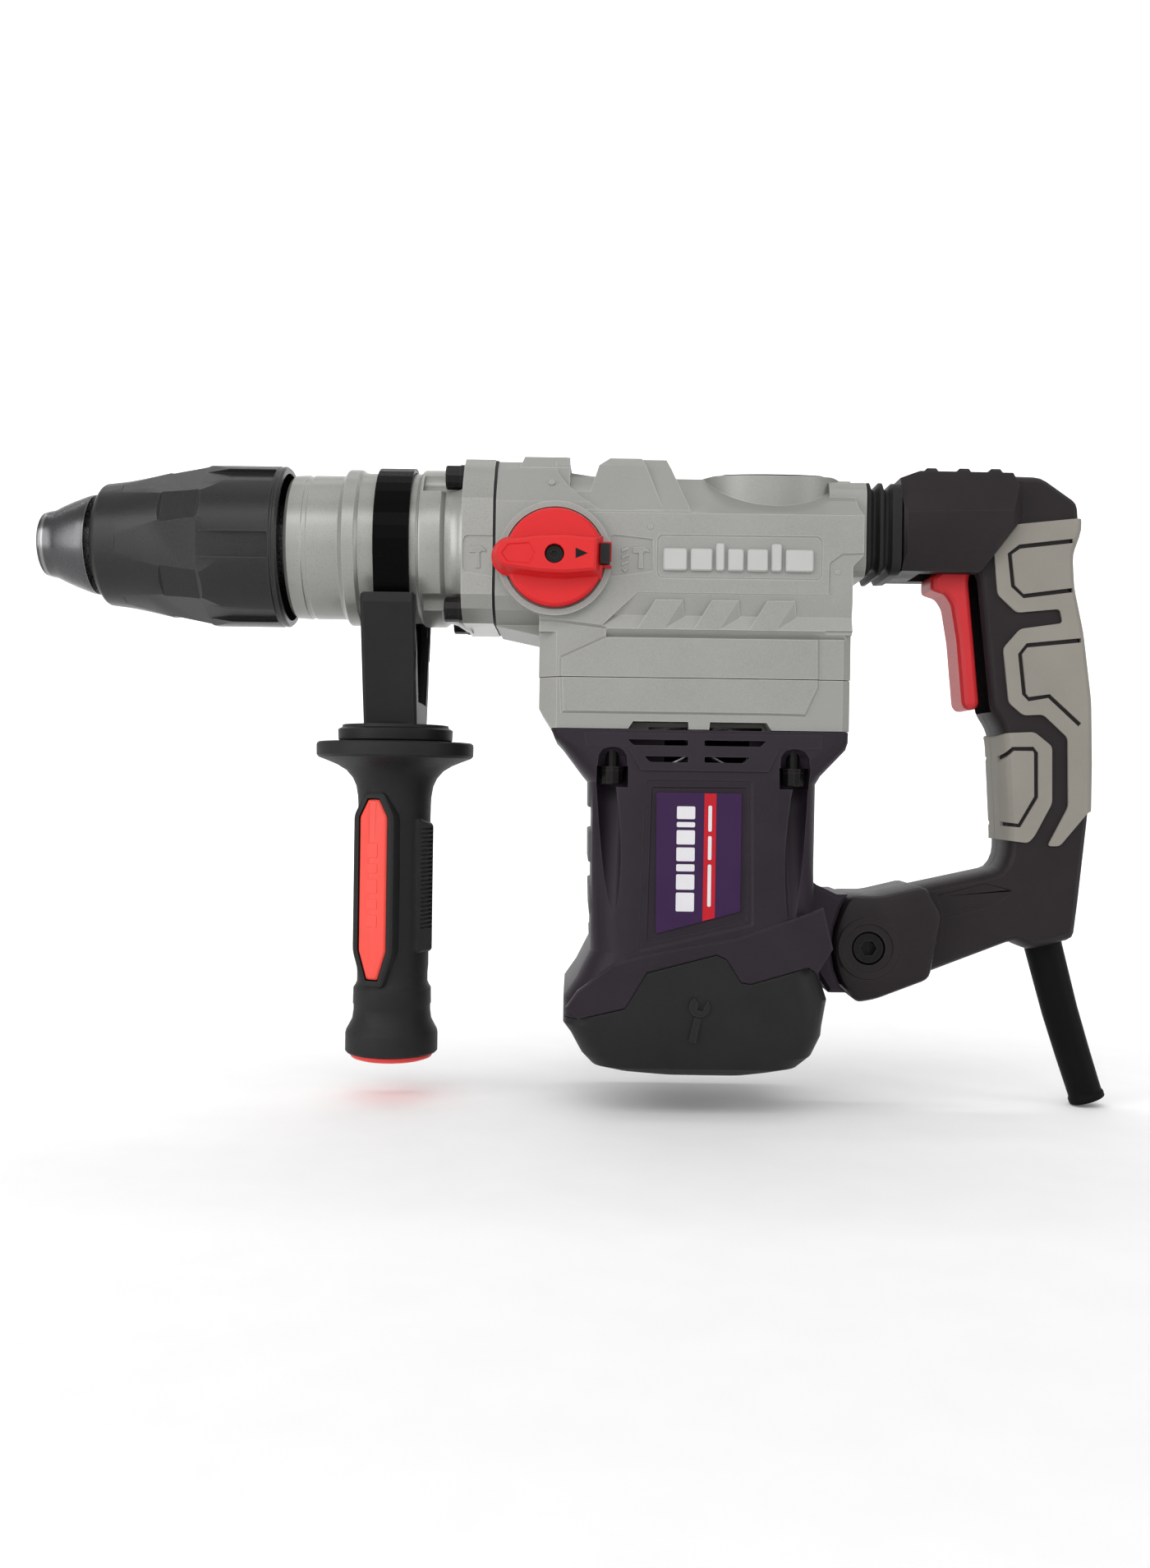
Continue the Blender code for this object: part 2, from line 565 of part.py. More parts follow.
def build_motor():
    housing = motor_shell("motor_housing", "black")
    cut(housing, plate("seam", None, "Y", [(x, z + 0.35) for x, z in SEAM], -60, 60))
    lug = [(44.0, 76.0), (47.1, 73.7), (55.6, 69.8), (60.0, 69.9), (56.8, 64.0), (54.3, 56.0)]
    lug += [(53.2, 47.3), (54.6, 39.0), (57.2, 32.5), (60.0, 29.6), (52.5, 29.6), (43.0, 44.0)]
    join(housing, plate("lug", None, "Y", lug, -24, 24, 1.0))
    tongue = [(44.0, 60.0), (68.5, 57.5), (75.2, 54.7), (78.0, 48), (75.2, 41.3), (68.5, 38.5), (44.0, 44.0)]
    join(housing, plate("tongue", None, "Y", tongue, -9.7, 9.7, 0.6))
    cut(housing, rod("pivot_hole", None, "Y", HANDLE_PIVOT, -20, 20, 4.3, 16))
    for x, y in housing_screws():
        side = -1 if y < 0 else 1
        slot = [(x - 6.2, y + side * 20), (x + 6.2, y + side * 20), (x + 6.2, y), (x - 6.2, y)]
        cut(housing, plate("slot", None, "Z", slot, 106.0, 121.0))
        cut(housing, rod("pocket", None, "Z", (x, y), 106.0, 121.0, 6.2, 14))
        cut(housing, rod("hole", None, "Z", (x, y), 115.0, 140.0, 2.8, 10))
    for index, spot in enumerate(housing_screws(), 1):
        cap_screw(f"housing_screw_{index}", "Z", spot, 120.7, -1, 28.0, 2.5, 4.6, 5.4)

    cover = motor_shell("service_cover", "black")
    combine(cover, [plate("below", None, "Y", SEAM, -60, 60)], "INTERSECT")
    join(cover, pipe("boss", None, "Z", (0, 0), 7.0, 20.0, 11.3, 15.0, 32))

    plate("rating_label", "label", "Y", [(-20.4, 110.8), (13.3, 110.8), (13.3, 64.2), (-20, 55)], -47.8, -47.2)
    core = pipe("stator", "dark_steel", "Z", (0, 0), 45.0, 105.0, 24.4, 40.5, 28)
    for way in (-1, 1):
        winding = box("winding", None, (-14, 14), (way * 32 - 5, way * 32 + 5), (38.0, 110.0))
        join(core, winding)
    bearing("motor_bearing_bottom", "Z", (0, 0), 12.5, 20.3, 4.3, 11.0)
    for name, way in (("brush_front", -1), ("brush_rear", 1)):
        near, far = sorted((way * 12.4, way * 30.0))
        box(name, "carbon", (near, far), (-3.2, 3.2), (24.0, 33.0))


# ---------------------------------------------------------------- controls


def build_selector():
    x, z = KNOB
    disc = [(-44.5, 0), (-44.5, 19.4), (-50.0, 19.4), (-50.0, 0)]
    knob = turned("selector_knob", "red", "Y", KNOB, disc, 32)
    join(knob, box("tab", None, (x + 14.0, x + 22.3), (-50.0, -44.5), (z - 3.9, z + 6.1)))
    lever = arc((x - 17.0, z), 6.4, 90, 270, 6) + [(x, z - 7.9), (x + 17.2, z - 6.2)]
    lever += [(x + 17.2, z + 6.2), (x, z + 7.9)]
    levels = [(-48.0, 0), (-56.6, 0.6), (-58.0, 2.0)]
    join(knob, slab("lever", None, "Y", lever, levels))
    cut(
        knob,
        rod("screw_recess", None, "Y", KNOB, -60, -54.0, 3.8, 20),
        rod("shaft_seat", None, "Y", KNOB, -52.2, -40, 5.3, 24),
        box("button_slot", None, (x + 17.5, x + 22.6), (-60, -46.0), (z - 3.1, z + 5.2)),
    )
    box("lock_button", "black", (x + 17.9, x + 21.6), (-53.5, -48.4), (z - 2.8, z + 4.9))

    shaft = [(-51.8, 0), (-51.8, 5.0), (-44.0, 5.0), (-44.0, 6.0), (-30.5, 6.0), (-30.5, 7.5)]
    shaft += [(-28.0, 7.5), (-28.0, 0)]
    shaft = turned("selector_shaft", "steel", "Y", KNOB, shaft, 20)
    join(shaft, rod("crank_pin", None, "Y", (x - 4.0, z), -29.0, -21.8, 2.5, 20))


def build_side_handle():
    centre = (0.0, SPINDLE_Z)
    leg = 13.5
    outer = arc(centre, 33.6, -20, 200, 24) + [(-leg - 0.2, 148.0), (leg + 0.2, 148.0)]
    inner = arc(centre, 31.9, -20, 200, 24) + [(-leg + 1.6, 152.0), (leg - 1.6, 152.0)]
    band = plate("clamp_band", "dark_steel", "X", outer, -135.5, -121.0)
    cut(band, plate("inside", None, "X", inner, -140, -115))
    cut(band, rod("hole", None, "Z", (SIDE_X, 0), 140, 160, 4.3, 20))

    fork = [(20.0, 136.3), (35.0, 186.0), (34.0, 190.0), (29.6, 190.4), (14.6, 147.4)]
    fork += [(-y, z) for y, z in reversed(fork)]
    bracket = plate("fork_bracket", "black", "X", fork, -140.0, -118.0, 1.2)
    join(bracket, rod("disc", None, "Z", (SIDE_X, 0), 130.6, 137.5, 24.3, 32, 0.8))
    cut(bracket, rod("hole", None, "Z", (SIDE_X, 0), 125, 160, 4.3, 20))

    tie = [(24.5, 0), (24.5, 4.0), (152.4, 4.0), (152.4, 6.4), (157.4, 6.4), (157.4, 0)]
    turned("grip_bolt", "steel", "Z", (SIDE_X, 0), tie, 16)

    grip = [(130.2, 4.4), (130.2, 33.1), (123.6, 33.1), (121.5, 27.0), (118.5, 18.5)]
    grip += [(114.0, 15.6), (38.0, 15.9), (33.0, 14.8), (29.0, 14.8), (27.0, 16.4)]
    grip += [(14.0, 16.4), (8.0, 19.5), (-1.0, 19.5), (-1.0, 8.3)]
    grip += [(9.0, 8.3), (10.0, 4.4)]
    grip = turned("side_grip", "rubber", "Z", (SIDE_X, 0), grip, 24, ring=True)
    hexagon = [(-5.6, 98.0), (0, 105.0), (5.6, 98.0), (5.6, 42.0), (0, 35.0), (-5.6, 42.0)]
    hexagon = shifted(hexagon, SIDE_X)
    cut(grip, plate("pocket", None, "Y", inset(hexagon, -0.3), -20, -12.6))
    plate("grip_insert", "red", "Y", hexagon, -16.6, -12.9, 0.5)
    cap = [(-4.2, 0), (-4.2, 16.6), (-3.4, 17.3), (-1.3, 17.3), (-1.3, 8.0), (7.0, 8.0), (7.0, 0)]
    turned("grip_end_cap", "red", "Z", (SIDE_X, 0), cap, 28)


NOSE = [(61.2, 69.2), (57.9, 63.4), (55.4, 55.7), (54.3, 47.4), (55.7, 39.3), (58.2, 33.1), (61.0, 29.9)]
NOSE += [(64.0, 25.5), (71.9, 26.9)]
HANDLE = [(81.1, 203.4), (80.8, 243.0), (89.6, 246.4), (140.5, 245.3), (156.4, 234.3), (157.3, 222.5)]
HANDLE += [(153.6, 212.0), (154.4, 198.5), (158.5, 179.7), (162.2, 151.1), (162.9, 125.0), (162.8, 104.3)]
HANDLE += [(159.1, 67.2), (157.2, 51.3), (138.2, 46.3), (131.8, 50.4)]
HANDLE += list(reversed(NOSE))
HANDLE += [(73.4, 69.2), (120.8, 81.0), (124.1, 86.5), (124.0, 95.0), (121.7, 132.3), (116.9, 145.9)]
HANDLE += [(111.3, 203.2)]

HOLLOW = [(84.5, 207.4), (84.5, 239.0), (139.0, 241.2), (152.4, 231.8), (153.2, 223.4), (149.8, 213.0)]
HOLLOW += [(150.8, 198.0), (154.9, 179.0), (158.5, 151.0), (159.2, 125.0), (159.1, 104.6), (155.8, 70.0)]
HOLLOW += [(154.0, 55.6), (139.0, 51.6), (130.0, 54.0), (104.0, 43.8), (92.0, 43.0), (88.0, 68.5)]
HOLLOW += [(121.0, 77.0), (127.6, 85.0), (127.5, 95.0), (125.2, 133.0), (120.5, 146.0), (114.9, 207.4)]


def build_handle():
    whole = plate("whole", None, "Y", HANDLE, -15.0, 15.0, 2.0)
    arm = [(81.1, 203.4), (80.8, 243.0), (89.6, 246.4), (118.0, 245.8), (124.0, 226.0), (113.5, 203.4)]
    join(whole, plate("arm", None, "Y", arm, -22.0, 22.0, 2.0))
    foot = [*NOSE, (94.0, 35.5), (99.0, 62.0), (92.0, 73.8), (73.4, 69.2)]
    join(whole, plate("foot", None, "Y", foot, -24.0, 24.0, 2.0))
    cut(whole, plate("hollow", None, "Y", HOLLOW, -12.2, 12.2))
    throat = [(90.0, 198.0), (90.0, 206.0), (98.0, 214.5), (118.0, 214.5), (121.5, 205.0), (126.0, 146.0)]
    throat += [(100.0, 146.0), (96.0, 198.0)]
    cut(whole, plate("throat", None, "Y", throat, -11.4, 11.4))
    slot = [(48.0, 33.0), (74.0, 33.0), (81.5, 40.0), (81.5, 56.0), (74.0, 63.0), (48.0, 64.0)]
    cut(whole, plate("tongue_slot", None, "Y", slot, -10.0, 10.0))
    bolt = [(-30, 0), (-30, 6.9), (-15.2, 6.9), (-15.2, 4.3), (15.2, 4.3), (15.2, 7.0), (30, 7.0), (30, 0)]
    cut(whole, turned("bolt_hole", None, "Y", HANDLE_PIVOT, bolt, 20))
    gland = guard_path()
    tool = tube_along([gland[0], gland[2]], [8.4, 8.4], 20)
    cut(whole, solid("gland", None, tool))
    pin = rod("pin", None, "Y", TRIGGER_PIVOT, -13.5, 13.5, 2.0, 20)
    join(whole, pin)

    for name, near, far in (("handle_left", -40.0, -0.15), ("handle_right", 0.15, 40.0)):
        half = bpy.data.objects.new(name, whole.data.copy())
        bpy.context.scene.collection.objects.link(half)
        keep = box("keep", None, (40, 180), (near, far), (10, 260))
        combine(half, [keep], "INTERSECT")
        half.data.materials.clear()
        half.data.materials.append(surface(name, "black"))
        half.data.name = name
    bpy.data.objects.remove(whole)


PAD = [(154.0, 225.5), (128.8, 223.8), (119.6, 215.7), (121.7, 194.6), (126.0, 187.0), (124.3, 172.4)]
PAD += [(126.9, 149.8), (133.1, 144.6), (141.3, 145.1), (151.6, 135.6), (152.2, 106.9), (143.8, 90.5)]
PAD += [(148.8, 90.6), (158.8, 104.9), (159.4, 130.0), (158.4, 151.0), (154.6, 179.2), (150.6, 198.0)]
PAD += [(150.0, 212.0)]
PALM = [(124.6, 100.0), (122.4, 132.1), (125.6, 137.2), (137.7, 137.8), (145.1, 131.9), (145.4, 108.3)]
PALM += [(138.3, 94.6), (135.7, 91.7), (126.0, 92.6)]


def build_grip_pads():
    for name, way in (("grip_pad_left", -1), ("grip_pad_right", 1)):
        near, far = sorted((way * 15.2, way * 16.7))
        edges = [(near, 0), (near + 0.9, 0), (far, 0.6)] if way > 0 else [(near, 0.6), (far - 0.9, 0), (far, 0)]
        pad = slab(name, "grey_rubber", "Y", PAD, edges)
        palm = slab("palm", None, "Y", PALM, edges)
        strip = plate("strip", None, "Y", [(140, 114), (156, 114), (156, 126), (140, 126)], near, far)
        join(pad, strip, palm)


def build_trigger_and_switch():
    outline = [(92.9, 197.2), (92.9, 202.8), (99.4, 205.4), (100.9, 211.6), (106.0, 213.4), (111.1, 211.6)]
    outline += [(112.4, 205.0), (111.4, 201.0), (116.6, 149.4), (114.8, 147.0), (108.3, 146.9)]
    outline += [(106.4, 148.4), (100.2, 192.7), (97.9, 195.9)]
    trigger = plate("trigger", "red", "Y", outline, -10.8, 10.8, 1.6)
    cut(trigger, rod("pivot_hole", None, "Y", TRIGGER_PIVOT, -15, 15, 2.3, 20))
    switch = box("switch_body", "black", (126.6, 146.5), (-9.0, 9.0), (160.0, 205.0))
    join(switch, rod("plunger", None, "X", (0.0, 192.0), 119.6, 130.0, 3.0, 16))

    screw = [(-23.6, 0), (-23.6, 6.0), (-23.1, 6.5), (-15.5, 6.5), (-15.5, 4.0), (15.5, 4.0)]
    screw += [(15.5, 6.6), (21.5, 6.6), (21.5, 0)]
    screw = turned("pivot_screw", "dark_steel", "Y", HANDLE_PIVOT, screw, 18)
    socket = [circle("Y", HANDLE_PIVOT, y, 3.4, 6) for y in (-26.0, -19.6)]
    cut(screw, solid("socket", None, socket))


def build_bellows():
    loops = []
    y0, z0, z1 = 22.0, 200.2, 239.4
    outside = [(65.6, 0.6), (67.2, 0.0), (68.6, 2.6), (70.0, 2.6), (71.4, 0.2), (72.8, 0.2), (74.2, 2.8)]
    outside += [(75.6, 2.8), (77.0, 0.6), (80.4, 0.6)]
    for x, depth in outside:
        points = rounded((-y0 + depth, y0 - depth), (z0 + depth, z1 - depth), 7 - depth * 0.6, 3)
        loops.append([(x, y, z) for y, z in points])
    for x, depth in reversed(outside):
        inner = depth + 1.6
        points = rounded((-y0 + inner, y0 - inner), (z0 + inner, z1 - inner), 5.6 - depth * 0.6, 3)
        loops.append([(x, y, z) for y, z in points])
    solid("bellows", "rubber", loops, ring=True)
    coil("damper_spring", "X", (0.0, 220.0), 66.8, 79.2, 9.0, 1.1, 3, 10)


def guard_path():
    return [(144.0, 61.0), (147.3, 48.8), (151.3, 34.0), (155.0, 20.4), (160.6, 2.6), (166.4, -14.9)]


def tube_along(path, radii, steps, width=1.0):
    """Circles square to a path in the XZ plane, one for each of its points."""
    loops = []
    for i, (x, z) in enumerate(path):
        before, after = Vector(path[max(0, i - 1)]), Vector(path[min(len(path) - 1, i + 1)])
        run = (after - before).normalized()
        side = Vector((-run.y, run.x))
        loop = []
        for k in range(steps):
            t = 2 * math.pi * k / steps
            u = radii[i] * math.cos(t)
            loop.append((x + side.x * u, radii[i] * math.sin(t) * width, z + side.y * u))
        loops.append(loop)
    return loops


def build_cord_guard():
    path = guard_path()
    top = (145.6, 55.2)
    outside = [top, (146.6, 51.4), *path[2:], (167.2, -17.2)]
    loops = tube_along([path[0], top, top, *outside[1:]], [8.7, 8.7, 8.0, 8.0, 7.9, 7.6, 7.2, 7.0, 7.4], 20)
    inside = tube_along([path[0], top, *outside[1:]], [4.6] * 8, 20)
    solid("cord_guard", "rubber", loops + list(reversed(inside)), ring=True)


def smooth_all():
    for body in bpy.context.scene.objects:
        body.data.shade_smooth()
        body.data.set_sharp_from_angle(angle=math.radians(32))


clear_scene()
build_chuck()
build_spindle()
build_percussion()
build_gear_train()
build_front()
build_gear_housing()
build_gear_base()
build_motor()
build_selector()
build_side_handle()
build_handle()
build_grip_pads()
build_trigger_and_switch()
build_bellows()
build_cord_guard()
smooth_all()
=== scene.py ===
"""Looks of the rotary hammer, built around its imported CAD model.

Frame: the motor axis is +Z, the motor end stands at Z = 0, the chuck points to -X, the hand grip lies
at +X, and the selector side is -Y. Every number is millimetres unless a name says otherwise.
"""

import math

import bmesh
import bpy
from mathutils import Matrix, Vector


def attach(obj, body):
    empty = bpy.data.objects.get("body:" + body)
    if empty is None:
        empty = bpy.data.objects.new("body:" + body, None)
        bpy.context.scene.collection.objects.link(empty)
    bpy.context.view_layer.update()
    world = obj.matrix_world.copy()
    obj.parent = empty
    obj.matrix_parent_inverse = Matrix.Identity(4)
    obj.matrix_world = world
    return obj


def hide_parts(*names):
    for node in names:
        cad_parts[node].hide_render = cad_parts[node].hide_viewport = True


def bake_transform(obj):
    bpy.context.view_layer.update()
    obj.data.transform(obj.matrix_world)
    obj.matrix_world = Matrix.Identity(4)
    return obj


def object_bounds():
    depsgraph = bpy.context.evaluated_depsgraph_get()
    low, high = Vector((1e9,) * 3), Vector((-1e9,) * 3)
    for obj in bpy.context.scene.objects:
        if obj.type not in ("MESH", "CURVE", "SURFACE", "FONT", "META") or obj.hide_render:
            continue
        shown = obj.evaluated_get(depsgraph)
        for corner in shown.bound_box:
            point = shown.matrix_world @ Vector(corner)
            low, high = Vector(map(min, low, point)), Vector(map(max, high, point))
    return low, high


MM = 0.001
SPINDLE_Z = 212.5
KNOB = (-61.7, 202.5)
SIDE_X = -129.1

# Turning axes: their direction, and where they stand in the two other directions.
SPINDLE = ("X", (0, SPINDLE_Z))
MOTOR = ("Z", (0, 0))
CRANK = ("Z", (27.5, 0))
COUNTERSHAFT = ("Z", (-32.5, 0))
SELECTOR = ("Y", KNOB)
SIDE_GRIP = ("Z", (SIDE_X, 0))
HINGE = ("Y", (68.5, 48))

# Radii that more than one piece shares.
FLANGE_HOLE = 3.3
SCREW_HOLE = 2.8
BARREL_BORE = 28.3
MOTOR_ROOM = 41

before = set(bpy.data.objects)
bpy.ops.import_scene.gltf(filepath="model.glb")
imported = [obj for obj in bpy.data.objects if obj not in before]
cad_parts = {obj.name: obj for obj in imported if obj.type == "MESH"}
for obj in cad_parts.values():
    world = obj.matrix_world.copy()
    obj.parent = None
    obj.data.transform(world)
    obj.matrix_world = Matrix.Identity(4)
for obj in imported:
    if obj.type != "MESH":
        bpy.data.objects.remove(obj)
cad_box = [list(corner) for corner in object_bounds()]


# --- materials


def node(tree, kind, **settings):
    made = tree.nodes.new(kind)
    for name, value in settings.items():
        setattr(made, name, value)
    return made


def noise(tree, coords, size, detail=3, stretch=(1, 1, 1)):
    """A noise texture whose features are about size millimetres across."""
    mapping = node(tree, "ShaderNodeMapping")
    mapping.inputs["Scale"].default_value = stretch
    texture = node(tree, "ShaderNodeTexNoise")
    texture.inputs["Scale"].default_value = 1000 / size
    texture.inputs["Detail"].default_value = detail
    tree.links.new(coords.outputs["Object"], mapping.inputs["Vector"])
    tree.links.new(mapping.outputs["Vector"], texture.inputs["Vector"])
    return texture.outputs["Fac"]


def remap(tree, value, low, high, out_low, out_high):
    made = node(tree, "ShaderNodeMapRange")
    for socket, number in zip(("From Min", "From Max", "To Min", "To Max"), (low, high, out_low, out_high)):
        made.inputs[socket].default_value = number
    tree.links.new(value, made.inputs["Value"])
    return made.outputs["Result"]


def mix(tree, share, first, second):
    """Colour first turning into colour second as share goes from 0 to 1."""
    made = node(tree, "ShaderNodeMix", data_type="RGBA")
    for socket, colour in ((made.inputs[6], first), (made.inputs[7], second)):
        if isinstance(colour, tuple):
            socket.default_value = (*colour, 1)
        else:
            tree.links.new(colour, socket)
    if isinstance(share, float):
        made.inputs[0].default_value = share
    else:
        tree.links.new(share, made.inputs[0])
    return made.outputs[2]


def scaled(colour, factor):
    return tuple(min(1, c * factor) for c in colour)


def edge_mask(tree, radius, strength):
    """1 along convex edges, broken up by noise, and 0 elsewhere."""
    soft = node(tree, "ShaderNodeBevel", samples=3)
    soft.inputs["Radius"].default_value = radius * MM
    sharp = node(tree, "ShaderNodeNewGeometry")
    dot = node(tree, "ShaderNodeVectorMath", operation="DOT_PRODUCT")
    tree.links.new(soft.outputs["Normal"], dot.inputs[0])
    tree.links.new(sharp.outputs["Normal"], dot.inputs[1])
    return remap(tree, dot.outputs["Value"], 0.995, 0.86, 0, strength)


def finish(name, slot, colour, roughness, metallic=0, specular=0.5, mottle=0.05, speck=0.05, grain=0.5,
           depth=0.02, wear_and_highlight=0, wear_and_highlight_colour=None, stretch=(1, 1, 1)):
    """A moulded, cast or turned surface: clouds of tone, fine specks, grain in bump and roughness, and convex edges
    lightened partly as wear, partly as a painted edge highlight.
    """
    made = bpy.data.materials.new(name)
    made.use_nodes = True
    tree = made.node_tree
    shader = tree.nodes["Principled BSDF"]
    shader.inputs["Metallic"].default_value = metallic
    shader.inputs["Specular IOR Level"].default_value = specular
    coords = node(tree, "ShaderNodeTexCoord")
    clouds = noise(tree, coords, CLOUD_SIZE, 4)
    fine = noise(tree, coords, grain, 2, stretch)
    tone = mix(tree, remap(tree, clouds, 0.3, 0.7, 0, 1), scaled(colour, 1 - mottle), scaled(colour, 1 + mottle))
    tone = mix(tree, remap(tree, fine, 0.35, 0.75, 0, speck * 4), tone, scaled(colour, 1 + speck * 5))
    # convex edges get a lighter colour: partly worn paint and plastic, partly a painted edge highlight
    if wear_and_highlight:
        tone = mix(tree, edge_mask(tree, WORN_AND_HIGHLIGHT_BAND, wear_and_highlight), tone, wear_and_highlight_colour or scaled(colour, 1.8))
    tree.links.new(tone, shader.inputs["Base Color"])
    rough = remap(tree, fine, 0.3, 0.7, roughness - GLOSS_SPREAD, roughness + GLOSS_SPREAD)
    tree.links.new(rough, shader.inputs["Roughness"])
    bump = node(tree, "ShaderNodeBump")
    bump.inputs["Strength"].default_value = 0.6
    bump.inputs["Distance"].default_value = depth * MM
    tree.links.new(fine, bump.inputs["Height"])
    tree.links.new(bump.outputs["Normal"], shader.inputs["Normal"])
    LOOKS[name], SLOTS[name] = made, slot
    return made


LOOKS, SLOTS = {}, {}  # by name of the look: its material, and its slot in the library
CLOUD_SIZE = 22  # size of the broad clouds of tone
GLOSS_SPREAD = 0.06  # how far the roughness strays to each side
WORN_AND_HIGHLIGHT_BAND = 0.7  # width of the lightened band along an edge, partly wear and partly a painted highlight
SILVER = (0.236, 0.236, 0.222)
# colour of the lightened cast edges: partly bare worn metal, partly a painted edge highlight
WORN_AND_HIGHLIGHT = (0.62, 0.62, 0.60)

# Where a look's edges are lightened below, that is partly wear and partly a painted edge highlight.
finish(
    "cast", "cast_alloy", SILVER, 0.45, metallic=0.25, specular=0.4, mottle=0.035, speck=0.09, grain=0.4, depth=0.035,
    wear_and_highlight=0.35, wear_and_highlight_colour=WORN_AND_HIGHLIGHT,
)
finish(
    "barrel", "cast_alloy", scaled(SILVER, 1.03), 0.33, metallic=0.4, mottle=0.04, speck=0.09, grain=0.4, wear_and_highlight=0.3,
    wear_and_highlight_colour=WORN_AND_HIGHLIGHT,
)
finish("badge", "cast_alloy", (0.38, 0.38, 0.37), 0.34, mottle=0.03, speck=0.02, depth=0.004)
finish(
    "steel", "bright_steel", (0.42, 0.42, 0.43), 0.24, metallic=1, mottle=0.06, grain=0.3, depth=0.01,
    stretch=(4, 0.5, 0.5),
)
finish(
    "nose", "bright_steel", (0.085, 0.085, 0.088), 0.28, metallic=1, mottle=0.1, depth=0.008, wear_and_highlight=0.4,
    wear_and_highlight_colour=(0.5, 0.5, 0.5), stretch=(6, 0.3, 0.3),
)
finish(
    "blackened", "black_steel", (0.0045, 0.0042, 0.004), 0.3, specular=0.16, mottle=0.08, depth=0.01, wear_and_highlight=0.5,
    wear_and_highlight_colour=(0.05, 0.045, 0.04),
)
finish("band", None, (0.0012, 0.0011, 0.0011), 0.3, specular=0.04, mottle=0.08, depth=0.008)
finish("cord_rubber", "black_rubber", (0.004, 0.004, 0.004), 0.5, specular=0.06, mottle=0.1, grain=0.6)
finish(
    "plum", "black_plastic", (0.0155, 0.0105, 0.0165), 0.5, specular=0.17, mottle=0.12, speck=0.08, depth=0.05,
    wear_and_highlight=0.45, wear_and_highlight_colour=(0.05, 0.042, 0.05),
)
finish(
    "handle", "black_plastic", (0.014, 0.0108, 0.0125), 0.5, specular=0.17, mottle=0.12, speck=0.08, depth=0.05,
    wear_and_highlight=0.45, wear_and_highlight_colour=(0.045, 0.04, 0.042),
)
finish(
    "black", "black_plastic", (0.0115, 0.0115, 0.0115), 0.48, specular=0.16, mottle=0.12, speck=0.08, depth=0.04,
    wear_and_highlight=0.45, wear_and_highlight_colour=(0.045, 0.045, 0.045),
)
finish(
    "sleeve", "black_plastic", (0.0115, 0.0115, 0.0113), 0.34, specular=0.27, mottle=0.14, speck=0.14, grain=0.6,
    depth=0.07, wear_and_highlight=0.5, wear_and_highlight_colour=(0.07, 0.07, 0.07),
)
finish(
    "rubber", "black_rubber", (0.0125, 0.0125, 0.0125), 0.55, specular=0.17, mottle=0.15, grain=0.7, depth=0.05,
    wear_and_highlight=0.3, wear_and_highlight_colour=(0.04, 0.04, 0.04),
)
finish("soft_grey", "grey_grip_rubber", (0.208, 0.196, 0.172), 0.6, specular=0.2, grain=0.6, depth=0.04)
finish("lever_red", "red_plastic", (0.53, 0.011, 0.013), 0.4, specular=0.25, speck=0.03, grain=0.6)
finish("trigger_red", "red_plastic", (0.49, 0.019, 0.024), 0.42, specular=0.3, speck=0.03, grain=0.6, depth=0.03)
finish("cap_red", "red_plastic", (0.70, 0.045, 0.04), 0.42, specular=0.3, speck=0.03, grain=0.6)
finish("coral", "red_plastic", (0.70, 0.06, 0.043), 0.48, specular=0.35, speck=0.03, grain=0.6, depth=0.03)
finish("ink", "black_plastic", (0.004, 0.0035, 0.0035), 0.45, specular=0.15, mottle=0.1)
finish("label_purple", "dark_label", (0.026, 0.0065, 0.043), 0.42, specular=0.2, mottle=0.08, depth=0.01)
finish("label_red", "dark_label", (0.38, 0.006, 0.014), 0.4, specular=0.2, depth=0.01)
finish("label_white", "dark_label", (0.56, 0.55, 0.57), 0.4, specular=0.2, mottle=0.04, depth=0.01)
finish("chrome", None, (0.62, 0.62, 0.61), 0.22, metallic=0.9, mottle=0.06, grain=0.4, depth=0.01)
finish("copper", None, (0.55, 0.2, 0.08), 0.35, metallic=1, mottle=0.08, grain=0.6, depth=0.05)
finish("carbon", None, (0.02, 0.02, 0.022), 0.55, mottle=0.08, grain=0.4, depth=0.05)


# --- shape tools


def added(made):
    bpy.context.scene.collection.objects.link(made)
    return made


def built(shape, name="work"):
    """An object of the scene from a mesh under construction."""
    mesh = bpy.data.meshes.new(name)
    shape.to_mesh(mesh)
    shape.free()
    return added(bpy.data.objects.new(name, mesh))


def solid(loops, ring=False):
    """A closed mesh: one loop of points after another, capped, or joined back to the first as a ring."""
    shape = bmesh.new()
    rows = [[shape.verts.new(Vector(p) * MM) for p in loop] for loop in loops]
    pairs = list(zip(rows, rows[1:]))
    if ring:
        pairs.append((rows[-1], rows[0]))
    for low, high in pairs:
        count = max(len(low), len(high))
        for i in range(count):
            j = (i + 1) % count
            quad = [low[i % len(low)], low[j % len(low)], high[j % len(high)], high[i % len(high)]]
            corners = list(dict.fromkeys(quad))
            if len(corners) > 2:
                shape.faces.new(corners)
    if not ring:
        for end in (rows[0], rows[-1]):
            if len(end) > 2:
                shape.faces.new(end)
    bmesh.ops.recalc_face_normals(shape, faces=shape.faces)
    return built(shape)


def place(axis, u, v, along):
    return {"X": (along, u, v), "Y": (u, along, v), "Z": (u, v, along)}[axis]


def circle(axis, centre, along, radius, steps, turn=0):
    angles = [2 * math.pi * i / steps + turn for i in range(steps)]
    return [place(axis, centre[0] + radius * math.cos(t), centre[1] + radius * math.sin(t), along) for t in angles]


def turned(axis, centre, profile, steps=96, ring=False):
    return solid([circle(axis, centre, a, r, steps) for a, r in profile], ring)


